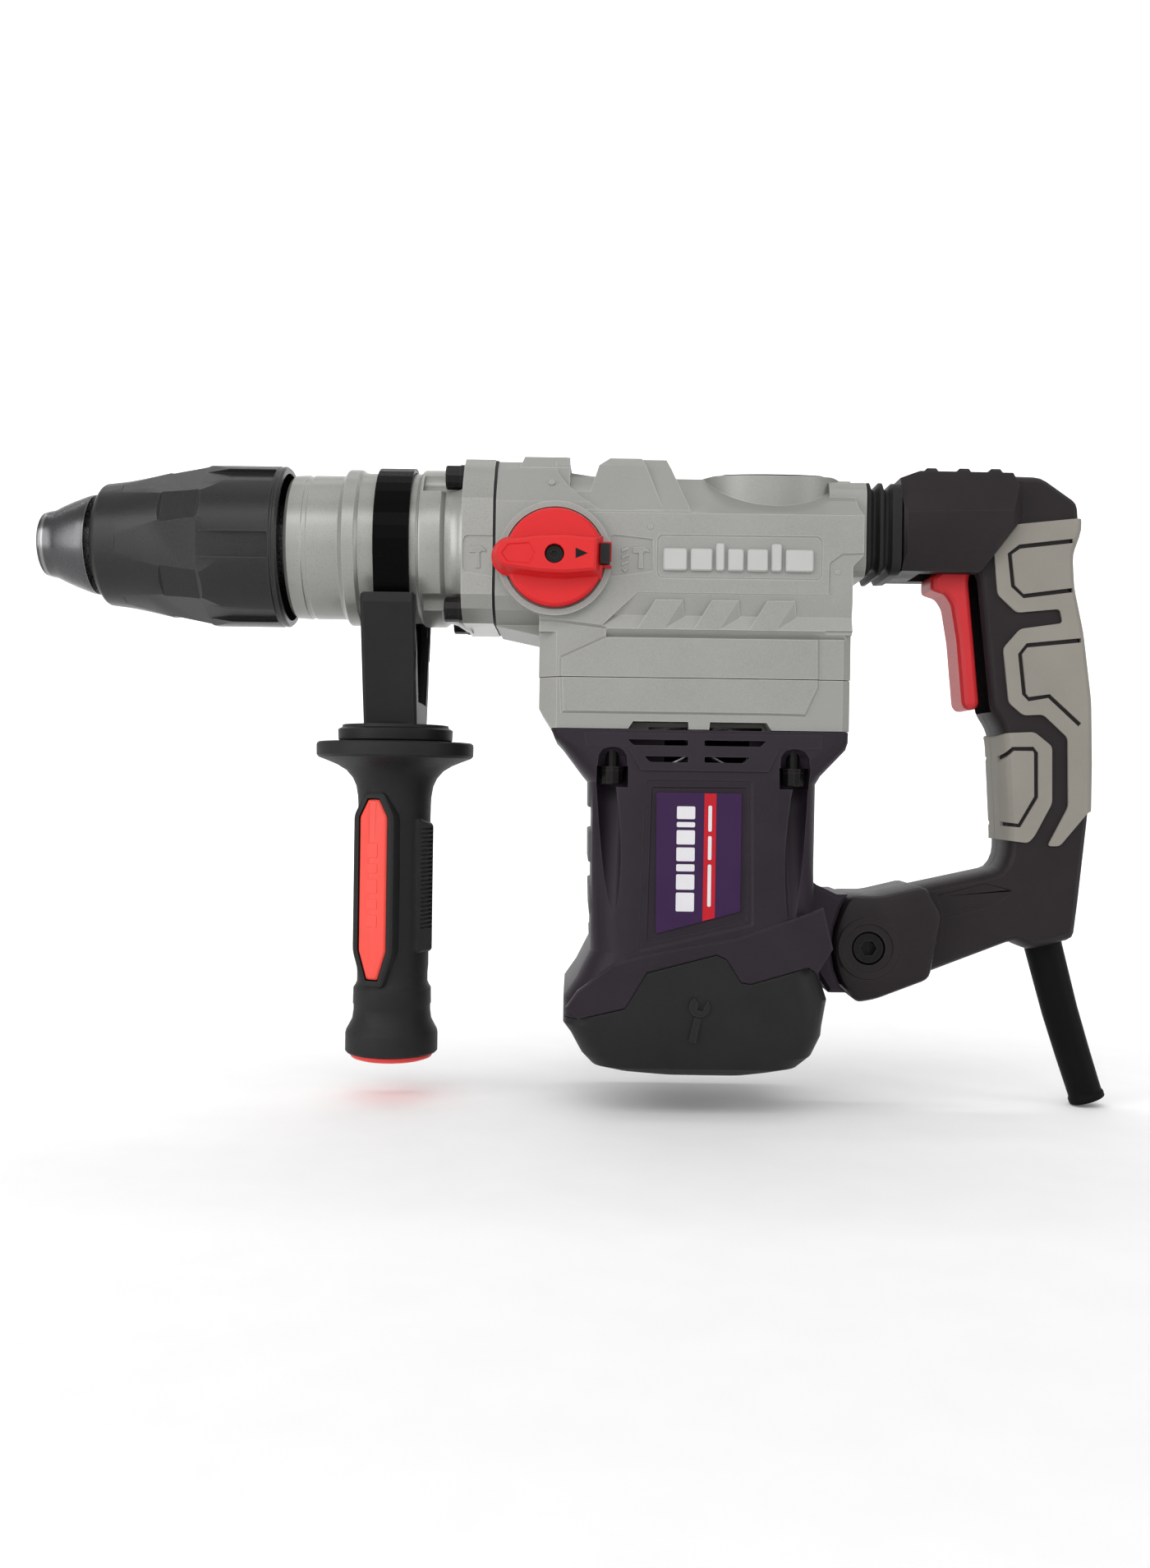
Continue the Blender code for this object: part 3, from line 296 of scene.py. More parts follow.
def rod(axis, centre, low, high, radius, steps=48, bevel=0):
    profile = [(low, radius), (high, radius)]
    if bevel:
        profile = [(low, radius - bevel), (low + bevel, radius), (high - bevel, radius), (high, radius - bevel)]
    return turned(axis, centre, profile, steps)


def area(outline):
    return sum(a[0] * b[1] - b[0] * a[1] for a, b in zip(outline, outline[1:] + outline[:1])) / 2


def corners(outline):
    """Each point of a closed outline, between the one before it and the one after."""
    for i, here in enumerate(outline):
        yield Vector(outline[i - 1]), Vector(here), Vector(outline[(i + 1) % len(outline)])


def inset(outline, depth):
    """The outline moved inwards by a depth, or outwards by a negative one."""
    if not depth:
        return list(outline)
    side = 1 if area(outline) > 0 else -1
    moved = []
    for before, here, after in corners(outline):
        first, second = (here - before).normalized(), (after - here).normalized()
        n1, n2 = Vector((-first.y, first.x)) * side, Vector((-second.y, second.x)) * side
        both = n1 + n2
        moved.append(tuple(here + both * (depth / max(0.35, n1.dot(both)))))
    return moved


def slab(axis, outline, levels):
    """A plate: the outline at each (distance along the axis, inset) level."""
    return solid([[place(axis, u, v, along) for u, v in inset(outline, depth)] for along, depth in levels])


def plate(axis, outline, low, high, edge=0):
    levels = [(low, edge), (low + edge, 0), (high - edge, 0), (high, edge)] if edge else [(low, 0), (high, 0)]
    return slab(axis, outline, levels)


def rectangle(x0, x1, y0, y1):
    return [(x0, y0), (x1, y0), (x1, y1), (x0, y1)]


def box(x, y, z):
    return plate("Z", rectangle(*x, *y), *z)


def rounded(x, y, radius, steps=6):
    points = []
    corners = [
        (x[1] - radius, y[1] - radius, 0), (x[0] + radius, y[1] - radius, 1), (x[0] + radius, y[0] + radius, 2),
        (x[1] - radius, y[0] + radius, 3),
    ]
    for cx, cy, quarter in corners:
        for i in range(steps + 1):
            t = (quarter + i / steps) * math.pi / 2
            points.append((cx + radius * math.cos(t), cy + radius * math.sin(t)))
    return points


def arc(centre, radius, start, end, steps):
    angles = [math.radians(start + (end - start) * i / steps) for i in range(steps + 1)]
    return [(centre[0] + radius * math.cos(t), centre[1] + radius * math.sin(t)) for t in angles]


def filleted(outline, radius, steps=4):
    """The outline with each corner turned into a short arc."""
    points = []
    for before, here, after in corners(outline):
        back, ahead = before - here, after - here
        reach = min(radius, back.length * 0.45, ahead.length * 0.45)
        start, end = here + back.normalized() * reach, here + ahead.normalized() * reach
        for k in range(steps + 1):
            t = k / steps
            points.append(tuple(start * (1 - t) ** 2 + here * 2 * t * (1 - t) + end * t * t))
    return points


def combine(body, tools, operation):
    for tool in tools:
        step = body.modifiers.new(operation, "BOOLEAN")
        step.operation, step.solver, step.object = operation, "EXACT", tool
        mesh = bpy.data.meshes.new_from_object(body.evaluated_get(bpy.context.evaluated_depsgraph_get()))
        body.modifiers.clear()
        body.data = mesh
        bpy.data.objects.remove(tool)
    return body


def cut(body, *tools):
    return combine(body, tools, "DIFFERENCE")


def join(body, *tools):
    return combine(body, tools, "UNION")


def keep(body, *tools):
    return combine(body, tools, "INTERSECT")


def both_sides(near):
    """A tool made for the selector side, and its mirror image for the far side."""
    far = added(bpy.data.objects.new("work", near.data.copy()))
    far.data.transform(Matrix.Scale(-1, 4, (0, 1, 0)))
    far.data.flip_normals()
    return [near, far]


def recess(body, outline, levels):
    """Sinks an outline into both flanks."""
    cut(body, *both_sides(slab("Y", outline, levels)))


FLAT = 0.6  # degrees between two faces that count as one
MERGE = 0.02  # distance between two points that count as one


def tidy(body):
    """Merges stray points and flat faces that a chain of cuts leaves behind."""
    shape = bmesh.new()
    shape.from_mesh(body.data)
    bmesh.ops.remove_doubles(shape, verts=shape.verts, dist=MERGE * MM)
    bmesh.ops.dissolve_limit(
        shape, angle_limit=math.radians(FLAT), verts=shape.verts, edges=shape.edges, use_dissolve_boundaries=False
    )
    bmesh.ops.dissolve_degenerate(shape, dist=MERGE * MM, edges=shape.edges)
    shape.to_mesh(body.data)
    shape.free()
    return body


def soften(body, width, angle):
    """Rounds the edges of a finished shape."""
    body.data.shade_smooth()
    step = body.modifiers.new("edges", "BEVEL")
    step.width, step.segments = width * MM, 3
    step.limit_method, step.angle_limit = "ANGLE", math.radians(angle)
    step.harden_normals = True
    step.use_clamp_overlap = True
    step.miter_outer = "MITER_ARC"


def show(body, name, look, width=0, cad=None, on="frame", angle=24):
    """Names a finished shape, gives it its look and fixes it to its CAD body; cad is the node it stands for."""
    body.name = body.data.name = name
    body.data.materials.clear()
    body.data.materials.append(LOOKS[look])
    for face in body.data.polygons:
        face.material_index = 0
    if width:
        soften(body, width, angle)
    else:
        body.data.shade_smooth()
        body.data.set_sharp_from_angle(angle=math.radians(30))
    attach(body, on)
    if cad:
        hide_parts(cad)


def show_soft(body, name, look, ends, cad, sharp=180):
    """Like show, for a shape that stretches between two bodies, but it stays where it is built: the ends it is given
    do not move it, and it is fixed to no body.
    """
    body.name = body.data.name = name
    body.data.materials.append(LOOKS[look])
    body.data.shade_smooth()
    if sharp < 180:
        body.data.set_sharp_from_angle(angle=math.radians(sharp))
    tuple(ends[0])
    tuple(ends[1])
    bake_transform(body)
    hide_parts(cad)


def paint(look, width, *names):
    """CAD nodes that keep their shape get their look here, and round edges where width is given."""
    for name in names:
        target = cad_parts[name]
        target.data.materials.clear()
        target.data.materials.append(LOOKS[look])
        if width:
            step = target.modifiers.new("edges", "BEVEL")
            step.width, step.segments, step.harden_normals = width * MM, 2, True
            step.limit_method, step.angle_limit = "ANGLE", math.radians(30)


# --- chuck and front barrel


def around_spindle(tool, degrees):
    """Turns a tool about the spindle axis."""
    centre = Vector((0, 0, SPINDLE_Z * MM))
    turn = Matrix.Translation(centre) @ Matrix.Rotation(math.radians(degrees), 4, "X") @ Matrix.Translation(-centre)
    tool.data.transform(turn)
    return tool


CUTTER_DEPTH, CUTTER_REACH = 14, 18


def facing_cut(points):
    """A cutter over the -Y side of the spindle: its inner face follows (x, radius) points."""
    low = [(x, -r) for x, r in points]
    outline = [*low, (points[-1][0], -points[-1][1] - CUTTER_DEPTH),
               (points[0][0], -points[0][1] - CUTTER_DEPTH)]
    return plate("Z", outline, SPINDLE_Z - CUTTER_REACH, SPINDLE_Z + CUTTER_REACH)


SLEEVE_FLATS = 6
SLEEVE_TURN = 7  # degrees by which the whole pattern is turned about the spindle


def build_chuck_sleeve():
    outer = [
        (-253.7, 21.8), (-253.1, 22.9), (-251.5, 25.1), (-250.6, 25.6), (-244, 26.4), (-240.5, 26.9),
        (-235, 28), (-230.8, 28.9), (-226.5, 29.9), (-222.5, 30.8), (-218.5, 31.8), (-214, 32.9),
        (-210.5, 33.5), (-205.5, 33.8), (-177.8, 33.8), (-177.3, 33.3), (-176.7, 33.3), (-176.2, 33.7),
        (-175.4, 33.7), (-174.5, 32.9), (-174.5, 30.9), (-188, 30.9), (-191, 21.3), (-253.7, 21.3),
    ]
    sleeve = turned(*SPINDLE, outer, 144, ring=True)
    for k in range(SLEEVE_FLATS):
        flat = facing_cut([(-241.8, 26.5), (-212, 30.8), (-194, 34)])
        grip = plate("Y", filleted(rectangle(-214, -177.8, SPINDLE_Z - 5.2, SPINDLE_Z + 5.2), 1.2), -40, -31.7)
        kite = facing_cut([(-225.6, 31.4), (-222.6, 29.6), (-207.4, 32.6), (-205.2, 34.2)])
        turn = 360 / SLEEVE_FLATS * k + SLEEVE_TURN
        between = turn + 180 / SLEEVE_FLATS
        cut(sleeve, around_spindle(flat, turn), around_spindle(grip, turn), around_spindle(kite, between))
    show(tidy(sleeve), "sleeve_shell", "sleeve", 0.45, "chuck_sleeve", on="sleeve", angle=16)


def build_nose():
    profile = [
        (-278.8, 9.6), (-278.8, 12.4), (-278.3, 13.2), (-275.4, 14), (-273.3, 14.4), (-271, 15.6), (-268.9, 16.6),
        (-264.7, 18.4), (-260.4, 20), (-258, 20.8), (-256.4, 21), (-256.4, 13.8), (-277, 13.7), (-277, 9.6),
    ]
    cap = turned(*SPINDLE, profile, 128, ring=True)
    show(cap, "nose_ring", "nose", 0.25, "nose_cap", on="spindle", angle=20)


def flange_bolts():
    return [(y, z) for y in (-24, 24) for z in (238.2, 184.2)]


def mirrored(half):
    return [*half, *[(-y, z) for y, z in reversed(half)]]


def octagon(top, side, bottom, foot):
    right = [
        (22, top), (30, top - 5), (37, top - 12.8), (side, top - 19.6), (side, bottom + 10.2),
        (side - 4, bottom + 4.9), (foot, bottom),
    ]
    return mirrored(right)


def across(section, xs):
    """A prism along X: the (y, z) section repeated at each x."""
    return solid([[(x, y, z) for y, z in section] for x in xs])


def build_barrel():
    neck = [
        (-172.5, 0), (-172.5, 28.7), (-171.9, 29.3), (-171, 30), (-165.5, 30.2), (-165, 29.8), (-163.6, 29.8),
        (-163, 30.2), (-150.4, 30.2), (-149.6, 30.9), (-148.9, 32.2), (-148.2, 32.8), (-143.6, 32.8),
        (-142.8, 32.4), (-142, 31.6), (-140, 31.4), (-118.6, 31.4), (-117.8, 31.8), (-117.2, 32.7),
        (-116.4, 33), (-108.6, 33), (-107.6, 32.5), (-106.7, 31.6), (-105.5, 31.5), (-103.2, 32.2),
        (-101, 33.6), (-99.6, 34.6), (-97, 35.4), (-97, 0),
    ]
    barrel = turned(*SPINDLE, neck, 144)
    join(barrel, across(octagon(246.3, 41, 178.4, 27), (-99, -86.6)))
    panel = filleted([(-98.6, 209.8), (-97.4, 212), (-86, 212), (-86, 195.6), (-97.6, 197.4), (-98.6, 198.8)], 1)
    cut(barrel, *both_sides(plate("Y", panel, -45, -40.3)))
    bore = [(-175, 0), (-175, 19), (-163, 19), (-163, 25), (-149, 25),
            (-149, BARREL_BORE), (-85, BARREL_BORE), (-85, 0)]
    for spot in flange_bolts():
        cut(barrel, rod("X", spot, -116.1, -99.3, 6.5, 26), rod("X", spot, -101.7, -85.3, FLANGE_HOLE, 18))
    cut(barrel, turned(*SPINDLE, bore, 96))
    gasket = across(octagon(245.8, 40.5, 178.9, 26.6), (-86.6, -85.4))
    cut(gasket, rod(*SPINDLE, -90, -80, BARREL_BORE, 96))
    cut(gasket, *[rod("X", spot, -90, -80, FLANGE_HOLE, 18) for spot in flange_bolts()])
    show(gasket, "flange_gasket", "rubber", 0, "front_gasket")
    show(tidy(barrel), "barrel_casting", "barrel", 0.55, "front_barrel", angle=22)


# --- gear housing


BELT_FOOT, BELT_RISE = 214, 34


def belt(section, left, right):
    """A raised band over the housing; left and right give its x at the top and at the foot."""
    def slope(ends, z):
        return ends[1] + (ends[0] - ends[1]) * (z - BELT_FOOT) / BELT_RISE

    return solid([[(slope(ends, z), y, z) for y, z in mirrored(section)] for ends in (left, right)])


def hull(points):
    """The smallest convex solid round the points."""
    shape = bmesh.new()
    for point in points:
        shape.verts.new(Vector(point) * MM)
    found = bmesh.ops.convex_hull(shape, input=shape.verts)
    bmesh.ops.delete(shape, geom=found["geom_interior"], context="VERTS")
    bmesh.ops.recalc_face_normals(shape, faces=shape.faces)
    return built(shape)


def wedge_bridge(left, right):
    """One slanted bar across the side groove: a flat parallelogram with a facet that falls away behind it."""
    face = [(left, 187.2), (right, 187.2), (right - 7.4, 175.4), (left - 7.2, 175.4)]
    tail = (right + 0.9, 180.6)
    points = [(x, -43, z) for x, z in face] + [(tail[0], -41.1, tail[1])]
    return hull(points + [(x, -39, z) for x, z in [*face, tail]])


def housing_blocks():
    """The wide front block, cut off along a bent diagonal, and the slimmer main body behind it."""
    body = across(octagon(245.4, 41, 178, 26), (-85.4, -37))
    step = [(-65.6, 252), (-60.8, 239), (-57.5, 233.8), (-51.5, 227.9), (-42.9, 221.8), (-38.5, 214)]
    cut(body, plate("Y", [*step, (-38.5, 160), (-30, 160), (-30, 252)], -60, 60))
    join(body, plate("Y", [(-85.4, 181), (-85.4, 177.4), (-66, 173.4), (-60, 173.4), (-60, 181)], -26, 26))
    main = mirrored([(12, 241.5), (31, 227), (43, 221.5), (43, 156.3)])
    join(body, across(main, (-67.6, 56.6)))
    for low, high in ((-60, -41), (41, 60)):
        cut(body, plate("Y", [(-90, 228), (-90, 172), (-67.4, 172), (-67.4, 204), (-60, 214)], low, high))
    shoulder = [(y, max(z, 205.7)) for y, z in main]
    slope = solid([[(x, y, z - (0 if z > 206 else drop)) for y, z in shoulder]
                   for x, drop in ((54, 7), (60.6, 0))])
    join(body, slope)
    join(body, plate("X", rounded((-24, 24), (200.2, 239.6), 6, 5), 50, 65.3))
    return body


def crown(lift, x0, x1):
    """The crank boss is not flat on top but falls away to both flanks."""
    half = [(8, 241.3 + lift), (19, 241 + lift), (27, 239.7 + lift), (32, 238.8 + lift), (32, 210)]
    return across(mirrored(half), (x0, x1))


def add_ribs(body):
    first = belt([(20, 248.1), (27.6, 242.2), (27.6, 236)], (-75, -84), (-57.4, -53.5))
    second = belt([(19.5, 248.1), (26.5, 243.6), (41.2, 222.6), (41.2, 214)], (-62, -62), (-26.6, -16))
    valley = [(-57.5, 256), (-55.6, 244), (-45.6, 242.6), (-38.9, 249), (-38.9, 256)]
    fall = [(9, 242.8), (36, 230.6), (46, 240), (46, 262), (9, 262)]
    ends = [[(-56.2, -y, z) for y, z in fall],
            [(min(-38.9, max(-48, -46 + (z - 242.6) * 0.95)), -y, z) for y, z in fall]]
    cut(second, plate("Y", valley, -60, 60), *both_sides(solid(ends)))
    third = belt([(18.6, 247.8), (24.6, 242.8), (41, 223), (41, 214)], (-30, -30), (-16.6, -5))
    boss = keep(rod(*CRANK, 214, 244, 30.6, 120), crown(0.5, -10, 65))
    return join(body, first, second, third, boss)


def build_crank_cap():
    cap = keep(rod(*CRANK, 231.2, 243, 27.4, 96), crown(1.1, -10, 65))
    show(tidy(cap), "crank_lid", "black", 0.3, "crank_cap")


CORNER_LEAN = 0.85  # how far a bevel runs in across the tool for each millimetre along it


def cut_corners(body):
    """Bevels the four upright edges of the lower gear case."""
    for x, edge in ((-67.6, -59), (56.6, 51.8)):
        corner = [(x * 1.2, -50), (edge, -50), (edge, -43.1), (x, -43.1 + abs(edge - x) * CORNER_LEAN), (x * 1.2, -30)]
        cut(body, *both_sides(plate("Z", corner, 128, 174)))


GROOVE_LEAN = 1.04  # how far the groove's front end runs towards the chuck for each millimetre down


def cut_side_relief(body):
    """The groove, ledges and lower panel that both flanks share."""
    groove = [(-46, 190.9), (-43, 189.9), (-42.7, 189.6), (-40.9, 181), (-42.9, 175.6), (-46, 174.8)]
    slanted = [[(-29.2 - (189.6 - z) * GROOVE_LEAN, y, z) for y, z in groove], [(70, y, z) for y, z in groove]]
    ledge = [(-46, 176.3), (-42.6, 175.2), (-40.7, 172.4), (-43.2, 171.9), (-46, 171.9)]
    cut(body, *both_sides(solid(slanted)))
    cut(body, *both_sides(across(ledge, (-41, 70))))
    left = [(-80, 150), (-58.4, 150), (-58.4, 163.5), (-40.5, 171.9), (-40.5, 176.5), (-62, 179), (-80, 179)]
    recess(body, left, [(-46, -3), (-43, 0), (-41.7, 1.2)])
    right = [(80, 150), (42.9, 150), (42.7, 172.2), (46, 176), (80, 176)]
    recess(body, right, [(-46, -3), (-43, 0), (-41.9, 1.1)])
    upper = [(46.9, 202.6), (46.7, 190.3), (48.3, 189.2), (48.2, 180.7), (80, 180), (80, 207.5), (52, 206.4)]
    recess(body, upper, [(-46, -3), (-43, 0), (-42.1, 0.9)])
    for left, right in ((-21.5, -10.9), (0.8, 11.2), (22.8, 33.6)):
        join(body, *both_sides(wedge_bridge(left, right)))
    cut_corners(body)
    return body


def hollow_gear_case(body):
    front = [(6, 240.9), (14, 237.6), (25, 231), (36, 222), (36, 189), (28, 181.4)]
    rear = [(6, 239), (13, 237.6), (29, 224.8), (36, 221), (36, 182.5), (35, 181.2)]
    stations = ((-62, front), (-36, front), (-30, rear), (52, rear))
    cut(body, solid([[(x, y, min(z, 238)) for y, z in mirrored(front)] for x in (-73, -61)]))
    cut(body, solid([[(x, y, z) for y, z in mirrored(half)] for x, half in stations]))
    cut(body, box((-63.2, 52.3), (-37.6, 37.6), (150, 171)))
    cut(body, rod(*SPINDLE, -90, -70, 23, 64))
    cut(body, rod(*CRANK, 165, 185, 14.3, 48), rod(*COUNTERSHAFT, 165, 185, 11.3, 48))
    cut(body, rod(*CRANK, 230, 245, 24.3, 96), rod(*CRANK, 231, 245, 27.9, 96))
    cut(body, rod(*SELECTOR, -52, -30, 6.3, 32))
    for spot in flange_bolts():
        cut(body, rod("X", spot, -90, -72.4, FLANGE_HOLE, 16))
    return body


def build_gear_housing():
    body = add_ribs(housing_blocks())
    cut_side_relief(body)
    join(body, rod(*SELECTOR, -46.2, -38, 22.6, 96))
    cut(body, rod(*SELECTOR, -48, -44.25, 20.3, 96))
    cut(body, plate("Y", rectangle(-44, -38, 201.2, 207.4), -48, -43.4))
    plaque = filleted([(-21, 211.2), (-19.6, 212.6), (42.6, 212.6), (44, 211.2), (44, 197.2), (42.6, 195.8),
                       (-19.6, 195.8), (-21, 197.2)], 0.6)
    recess(body, inset(plaque, -0.5), [(-45, 0), (-42.55, 0.3)])
    join(body, *both_sides(slab("Y", plaque, [(-42.75, 0.25), (-40.5, 0)])))
    symbols = filleted([(-38.3, 212.6), (-23, 211), (-22.6, 198.4), (-38.3, 196), (-40, 196.2), (-40, 212)], 0.8)
    cut(body, *both_sides(plate("Y", symbols, -46, -42.4)))
    hollow_gear_case(body)
    show(tidy(body), "gear_case", "cast", 0.7, "gear_housing", angle=17)
    for index, (spot_x, spot_z) in enumerate(((-63.4, 234.2), (-24, 215.9), (50.5, 199))):
        y = (-36.6, -43, -42.1)[index]
        dot = rod("Y", (spot_x, spot_z), y - 0.3, y + 2, 1.1, 24, 0.15)
        show(dot, f"ejector_mark_{index + 1}", "cast")


def hammer_symbol(x, z, turn):
    """A plain hammer outline; turn is 1 with its claw to the right and -1 with its claw to the left."""
    head = [(-3.4, 1.2), (-3.4, 3.6), (1.4, 3.9), (3.2, 2.4), (3.4, 1.4), (1.6, 1.9), (1.1, 1.1)]
    haft = [(-1.1, -5), (1, -5), (0.8, 1.3), (-0.9, 1.3)]
    return [[(x + turn * u, z + v) for u, v in part] for part in (head, haft)]


def build_side_symbols():
    """Plain raised bars where a nameplate would carry words, and the two drilling symbols, in relief."""
    bars = [(-18.8, -9.4), (-8, 0.6), (2, 5.4), (6.8, 13), (14.4, 22.6), (24, 28), (29.6, 40.6)]
    for side, name in ((-1, "near"), (1, "far")):
        for index, (x0, x1) in enumerate(bars):
            high = 209.6 if index in (2, 5) else 207.4
            shape = filleted(rectangle(x0, x1, 198.6, high), 1.1)
            levels = sorted((side * y, depth) for y, depth in ((42.5, 0), (43.9, 0), (44.5, 0.5)))
            show(slab("Y", shape, levels), f"plaque_bar_{name}_{index + 1}", "badge")
    parts = [(shape, -40.3) for shape in hammer_symbol(-92.4, 203.9, 1)]
    parts += [(shape, -42.4) for shape in hammer_symbol(-27.6, 204.2, 1)]
    for k in range(3):
        z = 200.2 + 2.7 * k
        parts.append(([(-35.4, z), (-32.4, z + 1.2), (-32.4, z + 2.6), (-35.4, z + 1.4)], -42.4))
    parts.append(([(-35.4, 199), (-32.4, 199), (-33.9, 197.6)], -42.4))
    for index, (shape, y) in enumerate(parts):
        relief = slab("Y", shape, [(y - 0.5, 0.2), (y - 0.3, 0), (y + 0.4, 0)])
        show(relief, f"mode_symbol_{index + 1}", "cast")


def build_gear_base():
    loops = []
    for z, left in ((135.8, -62.4), (143.5, -67.4), (156, -67.4)):
        loops.append([(x, y, z) for x, y in rounded((left, 56.4), (-43, 43), 3, 4)])
    base = solid(loops)
    cut_corners(base)
    left = [(-80, 160), (-58.4, 160), (-57.6, 142.7), (26, 142.7), (38, 142.5), (42.8, 153), (42.9, 160), (80, 160),
            (80, 130), (-80, 130)]
    recess(base, left, [(-46, -3), (-43, 0), (-42, 1)])
    for x0, x1 in ((-33, -7.5), (0.3, 26.4)):
        way = 1 if x0 < -20 else -1
        near, far = (3.2, 0.4) if way > 0 else (0.4, 3.2)
        notch = [(x0 + near, 138.8), (x1 - far, 138.8), (x1, 134), (x0, 134)]
        cut(base, *both_sides(plate("Y", notch, -46, -29)))
    cut(base, rod(*MOTOR, 130, 137.2, 37, 48), rod(*MOTOR, 130, 149.3, 14.3, 48))
    cut(base, rod(*MOTOR, 140, 160, 6.6, 32), rod(*CRANK, 140.5, 160, 6.3, 32))
    cut(base, rod(*COUNTERSHAFT, 143, 160, 5.3, 32))
    for x, y in housing_screws():
        cut(base, rod("Z", (x, y), 130, 150, SCREW_HOLE, 16))
    show(tidy(base), "gear_case_base", "cast", 0.6, "gear_base", angle=17)


# --- motor casing


def housing_screws():
    return [(-37.8, -38.8), (34.2, -38.8), (-37.8, 38.8), (34.2, 38.8)]


# Cross-sections of the casing from its foot upwards: z, low x, high x, half width, corner radius.
MOTOR_ROWS = [
    (-2.4, -24, 24, 36, 13), (-0.6, -37, 31, 40.5, 13), (1.2, -44, 38.5, 43, 13),
    (6, -48.6, 44, 45.2, 14), (14, -53, 47.7, 45.8, 14), (18, -56, 48, 46.2, 14),
    (28.6, -56, 50, 46.2, 15), (36, -51, 47.6, 46.2, 16), (47, -45.6, 46.2, 46.2, 17),
    (66, -46.4, 44.8, 46.2, 17), (80, -46.8, 44.4, 46.2, 17), (114.6, -47.2, 44.6, 46.2, 17),
    (118, -50, 46.2, 45.8, 14), (128.5, -58, 55.6, 44.2, 9), (131.5, -60.8, 56.2, 43.4, 6),
    (135.5, -62.4, 56.2, 43, 5),
]
SEAM = [
    (-75, -8), (-75, 20.4), (-51.6, 20.4), (-31.6, 25.1), (-23.2, 39.3), (4.3, 46.8), (8.2, 45), (14, 36),
    (17.8, 35.4), (40.2, 42.1), (44, 39.7), (50.2, 28.9), (75, 28.9), (75, -8),
]


def motor_solid():
    return solid([[(x, y, z) for x, y in rounded((x0, x1), (-half, half), radius, 7)]
                  for z, x0, x1, half, radius in MOTOR_ROWS])


def screw_pocket(x, y):
    """Pocket of a housing screw: open to the side, domed above and running out in a channel below."""
    side = -1 if y < 0 else 1

    def trough(rows):
        return solid([[(px, py, z) for px, py in arc((x, y + side * lift), radius, 0, 345, 23)]
                      for z, lift, radius in rows])

    slot = [(x - 6.2, y + side * 20), (x + 6.2, y + side * 20), (x + 6.2, y), (x - 6.2, y)]
    return [
        plate("Z", slot, 112.6, 121),
        rod("Z", (x, y), 112.6, 121, 6.2, 40),
        trough(((62, 8, 2.4), (84, 5, 4.2), (113, 0.2, 6.1))),
        trough(((120.9, 4.6, 6.15), (125, 5.6, 5.6), (127.6, 7, 4.2), (128.8, 8.4, 2))),
        rod("Z", (x, y), 115, 140, SCREW_HOLE, 16),
    ]


VENT_FOOT = 122.7


def vent_slots():
    """Two rows of two slots; those of the far side sit a little lower."""
    tools = []
    for low, high in ((129.3, 131.6), (VENT_FOOT, 125)):
        lean = [low - VENT_FOOT, high - VENT_FOOT]
        left = [(-23 - lean[0], low), (-8, low), (-8, high), (-23 - lean[1], high)]
        right = [(-1.6, low), (14 + lean[0], low), (14 + lean[1], high), (-1.6, high)]
        for outline in (left, right):
            for drop, near, far in ((0, -50.4, -37.3), (1.1, 37.3, 50.4)):
                tools.append(plate("Y", filleted([(x, z - drop) for x, z in outline], 0.6, 2), near, far))
    return tools


def motor_room(shell):
    return cut(shell, rod(*MOTOR, 8, 140, MOTOR_ROOM, 96))


def motor_relief(shell):
    """The label frame, the sunk field above the shoulder and the notches of the front edge."""
    outer = [(-24.6, 116), (17.6, 116), (18.6, 58.6), (-26.8, 47.6)]
    frame_line = [(-22.4, 113), (15.5, 113.2), (16.1, 60.6), (-23.6, 51.2)]
    recess(shell, filleted(outer, 1.6), [(-49, -1.2), (-46.2, 0), (-45.7, 0.8)])
    recess(shell, filleted(frame_line, 1.2), [(-49, -1), (-45.7, 0), (-45.1, 0.6)])
    for low, high in ((94, 105), (72, 83), (51, 62)):
        notch = [(-54, high + 0.6), (-45.4, high - 0.8), (-45.4, low + 0.8), (-54, low - 0.6)]
        cut(shell, plate("Y", notch, -38, 38))
    return shell


def shoulder_band():
    """The raised band that climbs from the lower front corner to the handle's lug."""
    outline = [
        (-55, 25.5), (-50.5, 32), (-37, 42.6), (-24, 46.6), (12, 53.6), (30, 60.2), (46, 66),
        (50, 50), (44, 40.2), (40.2, 42.6), (17.8, 35.9), (14, 36.5), (8.2, 45.5), (4.3, 47.3), (-23.2, 39.8),
        (-31.6, 25.6), (-50, 21),
    ]
    return slab("Y", outline, [(-46.95, 0.6), (-46.5, 0), (-43.4, 0)])


def collar_panel():
    """The flared collar's flat face, stepping down between the two screws."""
    outline = [
        (-49, 134), (45, 134), (44.6, 128.6), (28.2, 128.6), (23.6, 119.4), (-26.6, 119.4), (-31.8, 128.6),
        (-48.4, 128.6),
    ]
    return solid([
        [(x, -46.3 + (z - 119.4) * 0.2, z) for x, z in outline],
        [(x, -40, z) for x, z in outline],
    ])


